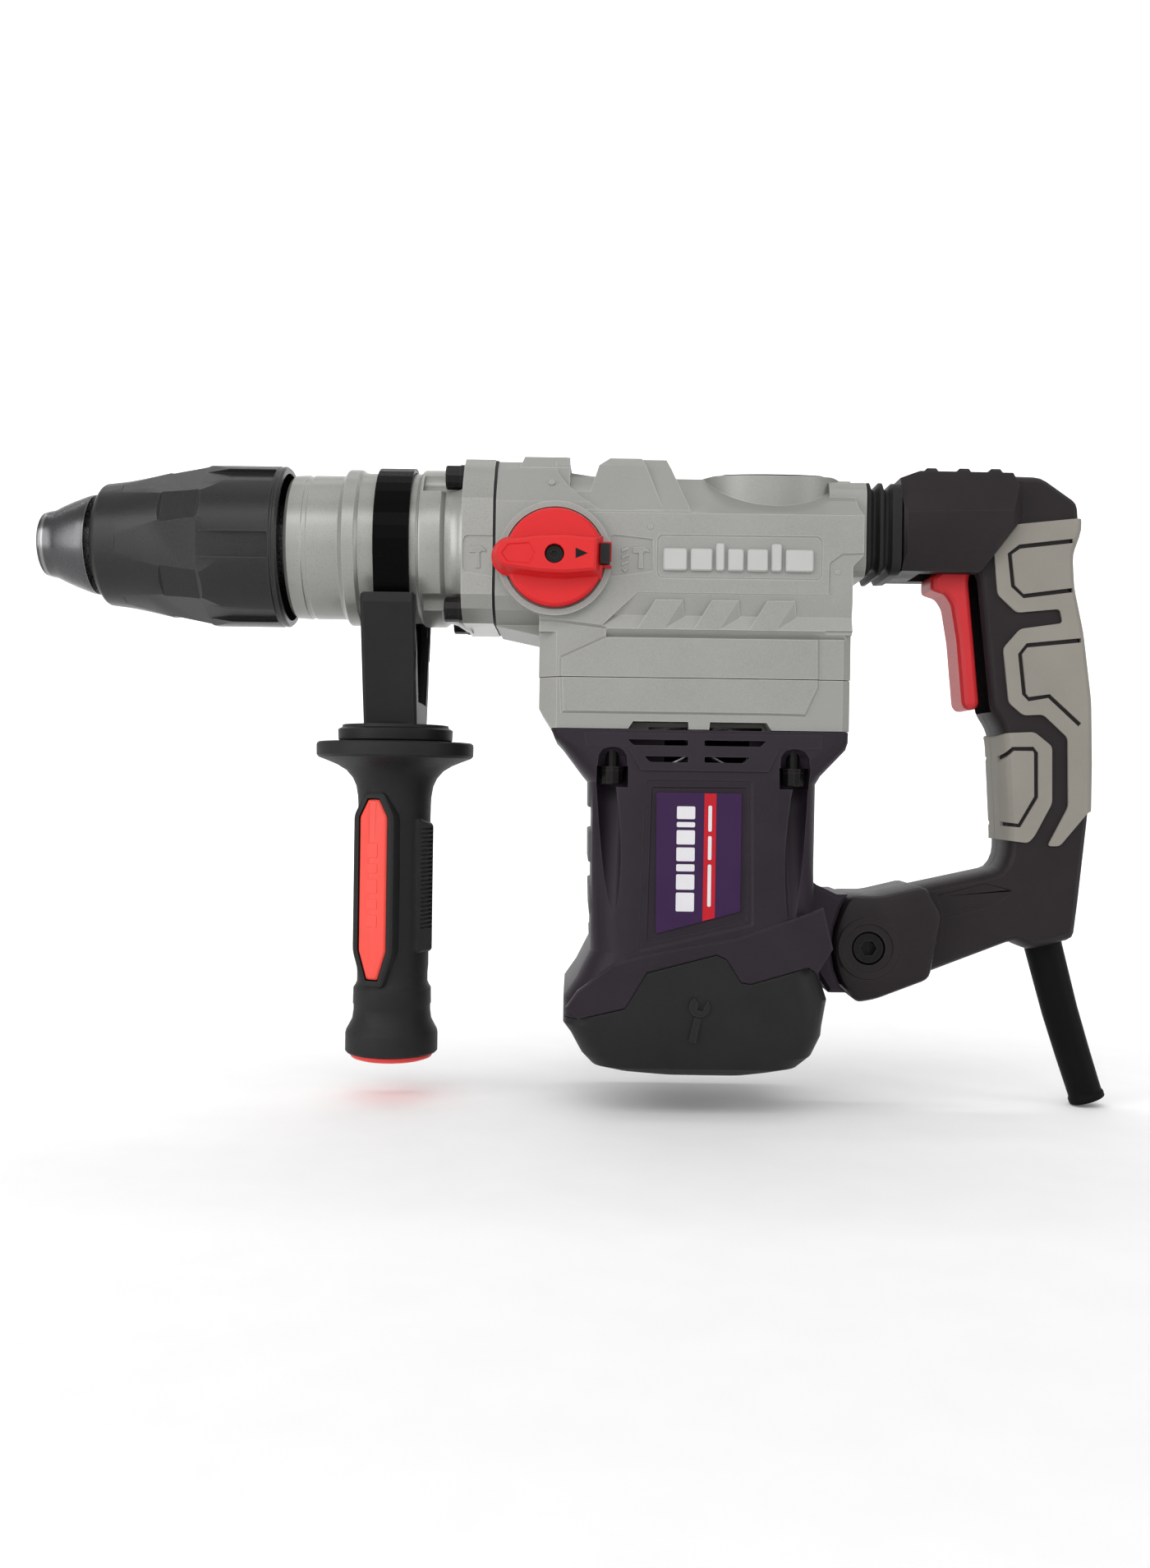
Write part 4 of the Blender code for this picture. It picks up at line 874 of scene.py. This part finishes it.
def build_motor_housing():
    shell = motor_solid()
    join(shell, *both_sides(shoulder_band()), *both_sides(collar_panel()))
    motor_room(shell)
    cut(shell, plate("Y", [(x, z + 0.35) for x, z in SEAM], -60, 60))
    lug = [
        (44, 76), (47.1, 73.7), (55.6, 69.8), (60, 69.9), (56.8, 64), (54.3, 56), (53.2, 47.3),
        (54.6, 39), (57.2, 32.5), (60, 29.6), (52.5, 29.6), (43, 44),
    ]
    join(shell, plate("Y", lug, -24, 24, 1.6))
    tongue = [(44, 60), (68.5, 57.5), (75.2, 54.7), (78, 48), (75.2, 41.3), (68.5, 38.5), (44, 44)]
    join(shell, plate("Y", tongue, -9.7, 9.7, 0.6))
    cut(shell, rod(*HINGE, -20, 20, 4.3, 32))
    for x, y in housing_screws():
        cut(shell, *screw_pocket(x, y))
    motor_relief(shell)
    cut(shell, *vent_slots())
    show(tidy(shell), "motor_casing", "plum", 0.6, "motor_housing", angle=22)


def build_service_cover():
    cover = motor_room(motor_solid())
    keep(cover, plate("Y", SEAM, -60, 60))
    sides = [(-64, 30), (-46.6, 24), (-45, 17), (-36.6, -1.5), (-36, -6), (-64, -6)]
    recess(cover, sides, [(-50, 0), (-47.1, 0), (-44.6, 3.2)])
    join(cover, turned(*MOTOR, [(7, 11.3), (7, 15), (20, 15), (20, 11.3)], 64, ring=True))
    show(tidy(cover), "bottom_cover", "black", 0.8, "service_cover", angle=22)
    for side, name in ((-1, "near"), (1, "far")):
        haft = [(-6.6, 13), (-3.6, 12.2), (-1.6, 22), (-4.4, 22.7)]
        jaw = arc((-2.4, 26.6), 4.2, 118, 398, 20) + [(-0.4, 27.2), (-1, 25), (-3.2, 25.5), (-2.6, 27.9)]
        for part, outline in (("haft", haft), ("jaw", jaw)):
            levels = sorted([(side * 46.6, 0), (side * 47.35, 0.12)])
            show(slab("Y", outline, levels), f"wrench_{part}_{name}", "black")


def build_label():
    """A purple plate with a red stripe and plain pale blocks, where the real one carries words."""
    outline = [(-20.4, 110.8), (13.3, 110.8), (13.3, 64.2), (-20, 55)]
    plate_body = slab("Y", filleted(outline, 0.8), [(-45.9, 0.1), (-45.8, 0), (-44.8, 0)])
    show(plate_body, "label_plate", "label_purple", 0, "rating_label")
    stripe = [(-1.4, 110.6), (3.3, 110.6), (3.2, 61.6), (-1.6, 60.3)]
    show(plate("Y", stripe, -45.96, -45.6), "label_stripe", "label_red")
    blocks = [(-12.2, -5, low, high) for low, high in
              ((64, 71.4), (72.6, 78.6), (79.8, 82.6), (83.8, 89.2), (90.4, 96), (97.2, 99.2), (100.4, 105.4))]
    blocks += [(0.2, 1.6, low, high) for low, high in ((66, 82.6), (84.4, 93.8), (95.6, 105.8))]
    for index, (x0, x1, low, high) in enumerate(blocks):
        shape = filleted(rectangle(x0, x1, low, high), 0.6)
        show(plate("Y", shape, -46.02, -45.6), f"label_block_{index + 1}", "label_white")


# --- selector


def build_selector():
    x, z = KNOB
    disc = [(-44.5, 0), (-44.5, 19.4), (-48.6, 19.4), (-49.4, 19), (-50, 18.2), (-50, 0)]
    knob = turned(*SELECTOR, disc, 96)
    join(knob, box((x + 14, x + 22.3), (-49.2, -44.7), (z - 3.9, z + 6.1)))
    lever = arc((x - 17, z), 6.3, 95, 265, 16) + [(x - 6, z - 7.8), (x + 4, z - 8.2), (x + 17, z - 7)]
    lever += [(x + 17.4, z + 7), (x + 4, z + 8.2), (x - 6, z + 7.8)]
    join(knob, slab("Y", lever, [(-48, -1.6), (-50.2, -0.5), (-54, 0.2), (-57, 0.9), (-57.9, 1.9)]))
    pocket = [
        (x - 20.9, z - 0.2), (x - 18.2, z + 3.6), (x - 9.4, z + 4.3), (x - 7.2, z + 0.1), (x - 9.4, z - 4.3),
        (x - 18.2, z - 3.7),
    ]
    cut(knob, slab("Y", pocket, [(-60, -0.6), (-58.3, -0.3), (-57.4, 0.6)]))
    cut(
        knob,
        rod(*SELECTOR, -60, -54, 3.8, 48),
        rod(*SELECTOR, -52.2, -40, 5.3, 44),
        box((x + 17.5, x + 22.6), (-60, -46), (z - 3.1, z + 5.2)),
    )
    show(tidy(knob), "mode_knob", "lever_red", 0.5, "selector_knob", on="selector", angle=26)
    mark = [(x + 8.2, z + 2.2), (x + 12.9, z + 0.2), (x + 8.2, z - 1.8)]
    show(plate("Y", mark, -57.99, -57.4), "knob_pointer", "ink", on="selector")
    screw = rod(*SELECTOR, -55.6, -53.8, 3.6, 40, 0.4)
    cut(screw, solid([circle(*SELECTOR, y, 1.5, 6) for y in (-57, -54.4)]))
    show(screw, "knob_screw", "blackened", on="selector")


# --- side handle


def merged(tools):
    """Many separate tools as one, so that one cut does for all of them."""
    whole = tools[0]
    shape = bmesh.new()
    for tool in tools:
        shape.from_mesh(tool.data)
    shape.to_mesh(whole.data)
    shape.free()
    for tool in tools[1:]:
        bpy.data.objects.remove(tool)
    return whole


GRIP_TURN = -25  # the inlay of the side grip looks a little forwards, as in the photograph


def inlay(grow):
    """The long eight-sided inlay's outline, as seen from its front."""
    half = [(2.6, 106), (6.6, 98.6), (6.6, 43), (2.6, 31)]
    return inset([(SIDE_X + u, z) for u, z in half] + [(SIDE_X - u, z) for u, z in reversed(half)], -grow)


def turned_with_grip(body):
    """Turns a shape about the side grip's own axis."""
    centre = Vector((SIDE_X * MM, 0, 0))
    turn = Matrix.Rotation(math.radians(GRIP_TURN), 4, "Z")
    body.data.transform(Matrix.Translation(centre) @ turn @ Matrix.Translation(-centre))
    return body


def build_side_grip():
    profile = [
        (130.2, 4.4), (130.2, 32.2), (129.6, 33), (128.6, 33.2), (124.6, 33.1), (123.6, 32.2), (122, 28),
        (120.4, 24.2), (118.2, 20.6), (115, 17.8), (111.6, 16.3), (107.4, 15.6), (104, 15.4), (76, 15),
        (36, 15.2), (33, 14.9), (29, 14.9), (27.4, 15.6), (26.2, 16.4), (19.8, 16.5), (19, 16.2),
        (17, 16.2), (13.2, 16.7), (10.6, 18), (8.4, 19.2), (7, 19.5), (-0.2, 19.5), (-1, 18.8), (-1, 8.3),
        (9, 8.3), (10, 4.4),
    ]
    grip = turned(*SIDE_GRIP, profile, 120, ring=True)
    join(grip, slab("Y", filleted(inlay(3.4), 2), [(-16.6, 1.4), (-16.1, 0.4), (-15, 0), (-9, 0)]))
    cut(grip, slab("Y", inlay(0.4), [(-20, -0.6), (-16.6, -0.1), (-12.6, 0)]))
    strips, ridges = [], []
    for way in (-1, 1):
        near, far = sorted((SIDE_X + way * 12, SIDE_X + way * 16.2))
        outline = filleted([(-6, 42), (6, 42), (6, 96), (-6, 98.6)], 1.5)
        levels = [(near, 0), (far - 0.8, 0), (far, 0.9)] if way > 0 else [(near, 0.9), (near + 0.8, 0), (far, 0)]
        strips.append(slab("X", outline, levels))
        near, far = sorted((SIDE_X + way * 15.5, SIDE_X + way * 20))
        ridges += [box((near, far), (-4.8, 4.8), (z, z + 0.9)) for z in [52 + 1.8 * k for k in range(24)]]
    join(grip, *strips)
    cut(grip, merged(ridges))
    turned_with_grip(tidy(grip))
    show(grip, "grip_moulding", "rubber", 0.35, "side_grip", on="side_grip_turning", angle=24)
    insert = slab("Y", filleted(inlay(0), 0.8), [(-17, 1.5), (-16.7, 0.7), (-16.1, 0.1), (-12.9, 0)])
    show(turned_with_grip(insert), "grip_inlay", "coral", 0.3, "grip_insert", on="side_grip_turning")
    bars = [(53, 58), (60.4, 64.6), (67, 73), (75.4, 79.4), (81.8, 88)]
    for index, (low, high) in enumerate(bars):
        shape = filleted(rectangle(SIDE_X - 2.6, SIDE_X + 2.6, low, high), 0.9)
        bar = turned_with_grip(slab("Y", shape, [(-17.25, 0.15), (-17.15, 0), (-16.6, 0)]))
        show(bar, f"grip_inlay_bar_{index + 1}", "coral", on="side_grip_turning")
    cap = [(-4.2, 0), (-4.2, 10), (-3.8, 14.4), (-3, 16.8), (-2.4, 17.3), (-1.3, 17.3), (-1.3, 8), (7, 8)]
    cap = turned(*SIDE_GRIP, [*cap, (7, 0)], 96)
    show(tidy(cap), "grip_cap", "cap_red", 0.2, "grip_end_cap", on="side_grip_turning")


def build_fork():
    side = [(20, 136.3), (24.4, 150), (35, 186), (34.2, 189.8), (29.6, 190.4), (22, 168.6), (14.6, 147.4)]
    fork = slab("X", mirrored(side), [(-140, 1), (-138.8, 0), (-119.2, 0), (-118, 1)])
    disc = [(130.6, 0), (130.6, 23.4), (131.2, 24.1), (135.4, 24.3), (135.9, 23.6), (136.3, 22.6), (137.4, 22.4)]
    join(fork, turned(*SIDE_GRIP, [*disc, (137.5, 22), (137.5, 0)], 96))
    edge = [(-118 - 0.9, 140), (-116, 140), (-116, 186), (-118.9, 184)]
    slots = [plate("Y", edge, *sorted((way * 25.5, way * 28.5))) for way in (-1, 1)]
    cut(fork, *slots, rod(*SIDE_GRIP, 125, 160, 4.3, 32))
    show(tidy(fork), "bracket", "black", 0.7, "fork_bracket", on="side_handle", angle=24)


# --- rear handle


NOSE = [(61.2, 69.2), (57.9, 63.4), (55.4, 55.7), (54.3, 47.4), (55.7, 39.3), (58.2, 33.1), (61, 29.9), (64, 25.5),
        (71.9, 26.9)]
HANDLE = [
    (81.1, 203.4), (80.8, 243), (89.6, 246.4), (140.5, 245.3), (156.4, 234.3), (157.3, 222.5), (153.6, 212),
    (154.4, 198.5), (158.5, 179.7), (162.2, 151.1), (162.9, 125), (162.8, 104.3), (159.1, 67.2), (157.2, 51.3),
    (138.2, 46.3), (131.8, 50.4), *reversed(NOSE), (73.4, 69.2), (124.4, 80.8), (127.4, 86.5), (127.5, 95),
    (125.2, 134), (123.8, 139.5), (119.3, 146.5), (112.9, 203.2),
]
HOLLOW = [
    (84.5, 207.4), (84.5, 239), (139, 241.2), (152.4, 231.8), (153.2, 223.4), (149.8, 213), (150.8, 198),
    (154.9, 179), (158.5, 151), (159.2, 125), (159.1, 104.6), (155.8, 70), (154, 55.6), (139, 51.6),
    (130, 54), (104, 43.8), (92, 43), (88, 68.5), (124.6, 76.6), (130.8, 85), (130.9, 95),
    (128.6, 133), (122.9, 147.6), (116.6, 207.4),
]


def grip_levels(half, grow):
    """Sections from one flank to the other with well rounded long edges."""
    rows = [(half, 3.6), (half - 0.9, 2.3), (half - 2.4, 1.4), (half - 5, 0.6), (half - 9, 0)]
    rows = [(y, depth - grow) for y, depth in rows]
    return [(-y, depth) for y, depth in rows] + list(reversed(rows))


def handle_grip(grow):
    """The grip; grow makes it fatter for the soft overmould."""
    return slab("Y", filleted(HANDLE, 3, 2), grip_levels(15 + grow, grow))


def handle_core():
    """The whole grip, arm and foot as one solid."""
    core = handle_grip(0)
    arm = [(81.1, 203.4), (80.8, 242.6), (89.6, 246.2), (128, 245.6), (133, 229), (121, 213), (113.5, 203.4)]
    arm = slab("Y", arm, [(-22, 1.8), (-21, 0.4), (-19.5, 0), (19.5, 0), (21, 0.4), (22, 1.8)])
    facet = [(22.6, 227.6), (22.6, 252), (8, 252), (14, 246), (18.4, 238.6), (21.4, 229.6)]
    chamfer = both_sides(solid([[(x, -y, z + lift) for y, z in facet] for x, lift in ((70, -1.5), (170, 1))]))
    cut(arm, *chamfer)
    taper = [(119, -30), (140, -30), (140, -14), (133, -14)]
    under = [(22.6, 213.4), (22.6, 190), (15, 190), (18.2, 203.4)]
    cut(arm, *both_sides(plate("Z", taper, 190, 260)))
    cut(arm, *both_sides(solid([[(x, -y, z + lift) for y, z in under] for x, lift in ((70, -3), (150, 3.6))])))
    foot = [*NOSE, (94, 35.5), (99, 62), (92, 73.8), (73.4, 69.2)]
    foot = slab("Y", filleted(foot, 3, 3), [(-24, 2.4), (-23.2, 0.8), (-21.5, 0), (21.5, 0), (23.2, 0.8), (24, 2.4)])
    join(core, arm, foot)
    return core


def handle_details(whole):
    """Ribs on the top, the sunk panel of the lower arm and the ring round the pivot screw."""
    for x in (91, 104.6, 117.8):
        rib = [(x, 242), (x, 245.4), (x + 1.8, 247.7), (x + 5.6, 247.7), (x + 7.4, 245.4), (x + 7.4, 242)]
        join(whole, plate("Y", rib, -12.5, 12.5, 1.2))
    ring = [(-24, 9.6), (-24.6, 10.2), (-24.6, 12.4), (-23.8, 13.2), (-20, 13.2), (-20, 9.6)]
    for way in (-1, 1):
        loop = turned(*HINGE, [(-y * way, r) for y, r in ring][::way], 64, ring=True)
        join(whole, loop)
    panel = [(101, 60), (121, 65), (131, 72), (118.5, 75), (98, 69.6)]
    recess(whole, filleted(panel, 1), [(-17, -0.8), (-15, 0), (-14.3, 0.7)])
    return whole


def square_to(path, i):
    """The unit vector square to a path at one of its points."""
    run = (Vector(path[min(len(path) - 1, i + 1)]) - Vector(path[max(0, i - 1)])).normalized()
    return Vector((-run.y, run.x))


def stroke(points, width):
    """The outline of a line drawn with a pen of this width."""
    sides = [square_to(points, i) * width / 2 for i in range(len(points))]
    near = [tuple(Vector(here) + side) for here, side in zip(points, sides)]
    far = [tuple(Vector(here) - side) for here, side in zip(points, sides)]
    return near + far[::-1]


def hollow_handle(whole):
    cut(whole, slab("Y", HOLLOW, [(-12.2, 2.4), (-8, 0.6), (8, 0.6), (12.2, 2.4)]))
    throat = [
        (90, 198), (90, 206), (98, 214.5), (118, 214.5), (121.5, 205), (126, 146), (100, 146),
        (96, 198),
    ]
    cut(whole, plate("Y", throat, -11.4, 11.4))
    slot = [(48, 33), (74, 33), (81.5, 40), (81.5, 56), (74, 63), (48, 64)]
    cut(whole, plate("Y", slot, -10, 10))
    bolt = [(-30, 0), (-30, 6.9), (-15.2, 6.9), (-15.2, 4.3), (15.2, 4.3), (15.2, 7), (30, 7), (30, 0)]
    cut(whole, turned(*HINGE, bolt, 48))
    cut(whole, solid(tube_loops([GUARD_PATH[0], GUARD_PATH[2]], [8.4, 8.4], 40)))
    return join(whole, rod("Y", (106, 208), -13.5, 13.5, 2, 24))


PAD = [
    (170, 226.7), (155.2, 226.7), (128.8, 223.8), (119.6, 215.7), (121.7, 194.6), (129.7, 187.2), (147.6, 189),
    (148.8, 183.1), (131.2, 180.5), (124.3, 172.4), (126.9, 149.8), (133.1, 144.6), (141.3, 145.1), (151.6, 135.6),
    (152.2, 106.9), (143.8, 90.5), (148.8, 90.6), (160.6, 104.9), (170, 106),
]
PALM = [
    (110, 132.1), (120, 132.1), (125.6, 137.2), (137.7, 137.8), (145.1, 131.9), (145.4, 108.3), (138.3, 94.6),
    (135.7, 91.7), (122.6, 93.2), (110, 93.2),
]
GROOVES = [
    [(152.6, 217.3), (130.5, 214.6), (126.4, 211.5), (128, 198.2), (132.4, 194.1), (152.8, 196.9)],
    [(156.5, 176.1), (134.1, 173.7), (131.3, 170), (133.2, 153.5), (135.1, 151.4), (143.5, 152.8), (156.5, 141)],
    [(121.1, 122.7), (128.9, 130.7), (137.3, 130.8), (138.5, 129.1), (138.8, 110.9), (131.9, 98.9), (122, 99.9)],
]


def overmould(side, name, stands_for):
    """One flank's soft pads: a skin over the grip inside the pads' outlines."""
    near, far = sorted((side * 0.2, side * 22))
    skin = []
    for outline in (PAD, PALM):
        part = handle_grip(1.1)
        keep(part, plate("Y", filleted(outline, 1.6, 3), near, far))
        skin.append(part)
    pads = merged(skin)
    cut(pads, handle_grip(0))
    near, far = sorted((side * 8, side * 22))
    cut(pads, *[plate("Y", stroke(line, 1.8), near, far) for line in GROOVES])
    show(tidy(pads), name, "soft_grey", 0.4, stands_for, on="rear_handle", angle=30)


HALF_SEAM = 0.15  # half the gap between the two handle shells


def build_handle():
    whole = hollow_handle(handle_details(handle_core()))
    for name, stands_for, near, far in (
        ("handle_shell_left", "handle_left", -40, -HALF_SEAM),
        ("handle_shell_right", "handle_right", HALF_SEAM, 40),
    ):
        half = added(bpy.data.objects.new(name, whole.data.copy()))
        keep(half, box((40, 180), (near, far), (10, 260)))
        show(tidy(half), name, "handle", 0.5, stands_for, on="rear_handle", angle=30)
    bpy.data.objects.remove(whole)
    overmould(-1, "soft_pads_left", "grip_pad_left")
    overmould(1, "soft_pads_right", "grip_pad_right")


def build_trigger():
    outline = [
        (95.6, 197), (95.6, 202.8), (99.4, 205.4), (100.9, 211.6), (106, 213.4), (111.1, 211.6), (112.4, 205),
        (111.4, 201), (116.6, 149.4), (114.8, 147), (111.2, 146.9), (109.4, 149), (106.8, 176),
        (104.2, 191), (101.4, 195.2),
    ]
    levels = [(-10.8, 2.2), (-10, 0.9), (-8.2, 0), (8.2, 0), (10, 0.9), (10.8, 2.2)]
    trigger = slab("Y", filleted(outline, 1.4, 2), levels)
    cut(trigger, rod("Y", (106, 208), -15, 15, 2.3, 32))
    show(tidy(trigger), "trigger_blade", "trigger_red", 0.4, "trigger", on="trigger_lever")


def build_bellows():
    loops = []
    outside = [
        (65.6, 0.6), (66.6, 0.2), (67.4, 0.2), (68.4, 2.2), (69, 2.8), (69.8, 2.8), (70.4, 2.2), (71.4, 0.2),
        (72.6, 0.2), (73.6, 2.2), (74.2, 2.8), (75, 2.8), (75.6, 2.2), (76.6, 0.4), (78, 0.4), (80.4, 0.6),
    ]
    for extra, corner in ((0, 7), (1.6, 5.6)):
        rows = outside if not extra else list(reversed(outside))
        for x, fold in rows:
            depth = fold + extra
            points = rounded((-22 + depth, 22 - depth), (201.4 + depth, 240.4 - depth), corner - fold * 0.6, 8)
            loops.append([(x, y, z) for y, z in points])
    ends = [(x * MM, 0, 0.22) for x in (66.6, 79.4)]
    show_soft(solid(loops, ring=True), "rubber_bellows", "rubber", ends, "bellows", sharp=50)


def spring(name, height, low, high, radius, wire, turns, stands_for):
    """A coil along X from low to high, which stays where it is built."""
    count, around = round(turns * 32), 10
    loops = []
    for i in range(count + 1):
        turn, along = 2 * math.pi * turns * i / count, low + (high - low) * i / count
        loop = []
        for k in range(around):
            w = 2 * math.pi * k / around
            reach = radius + wire * math.cos(w)
            loop.append((along + wire * math.sin(w), reach * math.cos(turn), height + reach * math.sin(turn)))
        loops.append(loop)
    ends = [(x * MM, 0, height * MM) for x in (low, high)]
    show_soft(solid(loops), name, "steel", ends, stands_for)


GUARD_PATH = [(144, 61), (147.3, 48.8), (151.3, 34), (155, 20.4), (160.6, 2.6), (166.4, -14.9)]


def tube_loops(path, radii, steps):
    """Circles square to a path in the XZ plane, one for each of its points."""
    loops = []
    for i, (x, z) in enumerate(path):
        side = square_to(path, i)
        turns = [2 * math.pi * k / steps for k in range(steps)]
        loops.append([
            (x + side.x * radii[i] * math.cos(t), radii[i] * math.sin(t), z + side.y * radii[i] * math.cos(t))
            for t in turns
        ])
    return loops


def build_cord_guard():
    """A smooth tapered rubber sleeve with a rolled lip at its end."""
    path = [(145.6, 55.2), (146.6, 51.4), *GUARD_PATH[2:], (167.2, -17.2)]
    spans = [(Vector(b) - Vector(a)).length for a, b in zip(path, path[1:])]
    total = sum(spans)

    def at(distance):
        for start, end, span in zip(path, path[1:], spans):
            if distance <= span or end == path[-1]:
                return tuple(Vector(start).lerp(Vector(end), min(1, distance / span)))
            distance -= span

    centre, radii = [GUARD_PATH[0]], [8]
    steps, lip_start, lip_height = 80, 0.965, 0.55
    for i in range(steps + 1):
        share = i / steps
        lip = lip_height if share > lip_start else 0
        centre.append(at(total * share))
        radii.append(7.9 - 1 * share + lip)
    outer, inner = tube_loops(centre, radii, 48), tube_loops(centre, [4.6] * len(centre), 48)
    guard = solid(outer + inner[::-1], ring=True)
    show(guard, "flex_guard", "cord_rubber", 0, "cord_guard", on="rear_handle")


# --- the CAD nodes that keep their shape


def paint_remaining():
    paint("blackened", 0.3, *[f"flange_bolt_{k}" for k in (1, 2, 3, 4)])
    paint("blackened", 0.25, *[f"housing_screw_{k}" for k in (1, 2, 3, 4)])
    paint("blackened", 0.3, "pivot_screw", "mode_ring", "lock_ring")
    paint("band", 0.25, "clamp_band")
    paint("steel", 0.25, "grip_bolt", "tool_holder", "hammer_tube", "impact_bolt", "striker", "selector_shaft")
    paint("steel", 0, "bevel_gear", "crankshaft", "bevel_countershaft", "armature")
    paint("steel", 0.3, "lock_segment_front", "lock_segment_back")
    paint("chrome", 0.2, "spindle_bearing", "crank_bearing", "countershaft_bearing")
    paint("chrome", 0.2, "motor_bearing_top", "motor_bearing_bottom")
    paint("barrel", 0.3, "piston", "connecting_rod")
    paint("copper", 0.4, "stator")
    paint("carbon", 0.3, "brush_front", "brush_rear")
    paint("black", 0.4, "lock_button")
    paint("black", 0.5, "switch_body")


# --- stage


FLOOR_GAP = 0.0004  # metres below the lowest point of the tool


def build_stage():
    """A pale floor that curves up behind, under soft even light."""
    low = cad_box[0][2] - FLOOR_GAP
    profile = [(-3, 0)] + [(1.5 + 0.9 * math.sin(t), 0.9 - 0.9 * math.cos(t)) for t in
                               [math.pi / 2 * i / 16 for i in range(17)]] + [(2.4, 3.2)]
    shape = bmesh.new()
    rows = [[shape.verts.new((x, y, low + z)) for x in (-4, 4)] for y, z in profile]
    for a, b in zip(rows, rows[1:]):
        shape.faces.new((a[0], a[1], b[1], b[0]))
    floor = built(shape, "floor")
    floor.data.shade_smooth()
    floor.data.materials.append(
        finish("floor_paint", None, (0.86, 0.86, 0.86), 0.75, specular=0.2, mottle=0.01, speck=0.01, grain=3)
    )


# Name, place, aim, size (all in metres) and power in watts.
LAMPS = (
    ("front_soft", (-0.35, -1.5, 0.75), (-0.05, 0, 0.12), (1.6, 1.2), 7),
    ("left_box", (-1.25, -0.85, 0.45), (-0.1, 0, 0.14), (0.7, 1.3), 12),
    ("right_box", (1.2, -0.6, 0.35), (0.05, 0, 0.14), (0.5, 1.2), 5),
    ("top_box", (-0.05, -0.1, 1.35), (-0.05, 0, 0.15), (1.3, 0.7), 2),
    ("floor_wash", (-0.05, -1.3, 1.3), (-0.05, -0.7, -0.02), (1.8, 0.5), 7),
    ("backdrop", (-0.05, 0.7, 1.5), (-0.05, 2.2, 0.5), (3, 0.6), 50),
)
WORLD_STRENGTH = 0.5
CAMERA_SPOT = (-0.0525, -0.612, 0.1136)  # metres
CAMERA_ROLL = 0.8  # degrees, as the photograph was taken


def area_light(name, spot, target, size, power):
    lamp = bpy.data.lights.new(name, "AREA")
    lamp.shape, lamp.size, lamp.size_y, lamp.energy = "RECTANGLE", size[0], size[1], power
    holder = added(bpy.data.objects.new(name, lamp))
    holder.location = spot
    holder.rotation_euler = (Vector(target) - Vector(spot)).to_track_quat("-Z", "Y").to_euler()


def build_light_and_camera():
    scene = bpy.context.scene
    scene.view_settings.view_transform = "Standard"
    world = bpy.data.worlds.new("studio")
    scene.world = world
    world.use_nodes = True
    background = world.node_tree.nodes["Background"]
    background.inputs["Color"].default_value = (1, 1, 1, 1)
    background.inputs["Strength"].default_value = WORLD_STRENGTH
    for lamp in LAMPS:
        area_light(*lamp)

    lens = bpy.data.cameras.new("camera")
    lens.lens, lens.sensor_width, lens.sensor_fit = 33, 36, "AUTO"
    lens.clip_start = 0.01
    camera = added(bpy.data.objects.new("camera", lens))
    upright = Matrix.Rotation(math.radians(90), 4, "X") @ Matrix.Rotation(math.radians(CAMERA_ROLL), 4, "Z")
    camera.matrix_world = Matrix.Translation(CAMERA_SPOT) @ upright
    scene.camera = camera


build_light_and_camera()
build_chuck_sleeve()
build_nose()
build_barrel()
build_gear_housing()
build_side_symbols()
build_crank_cap()
build_gear_base()
build_motor_housing()
build_service_cover()
build_label()
build_selector()
build_side_grip()
build_fork()
build_handle()
build_trigger()
build_bellows()
spring("sleeve_spring", SPINDLE_Z, -220.8, -201.3, 15.8, 0.8, 4, "chuck_spring")
spring("handle_spring", 220, 66.8, 79.2, 9, 1, 3, "damper_spring")
build_cord_guard()
paint_remaining()
build_stage()
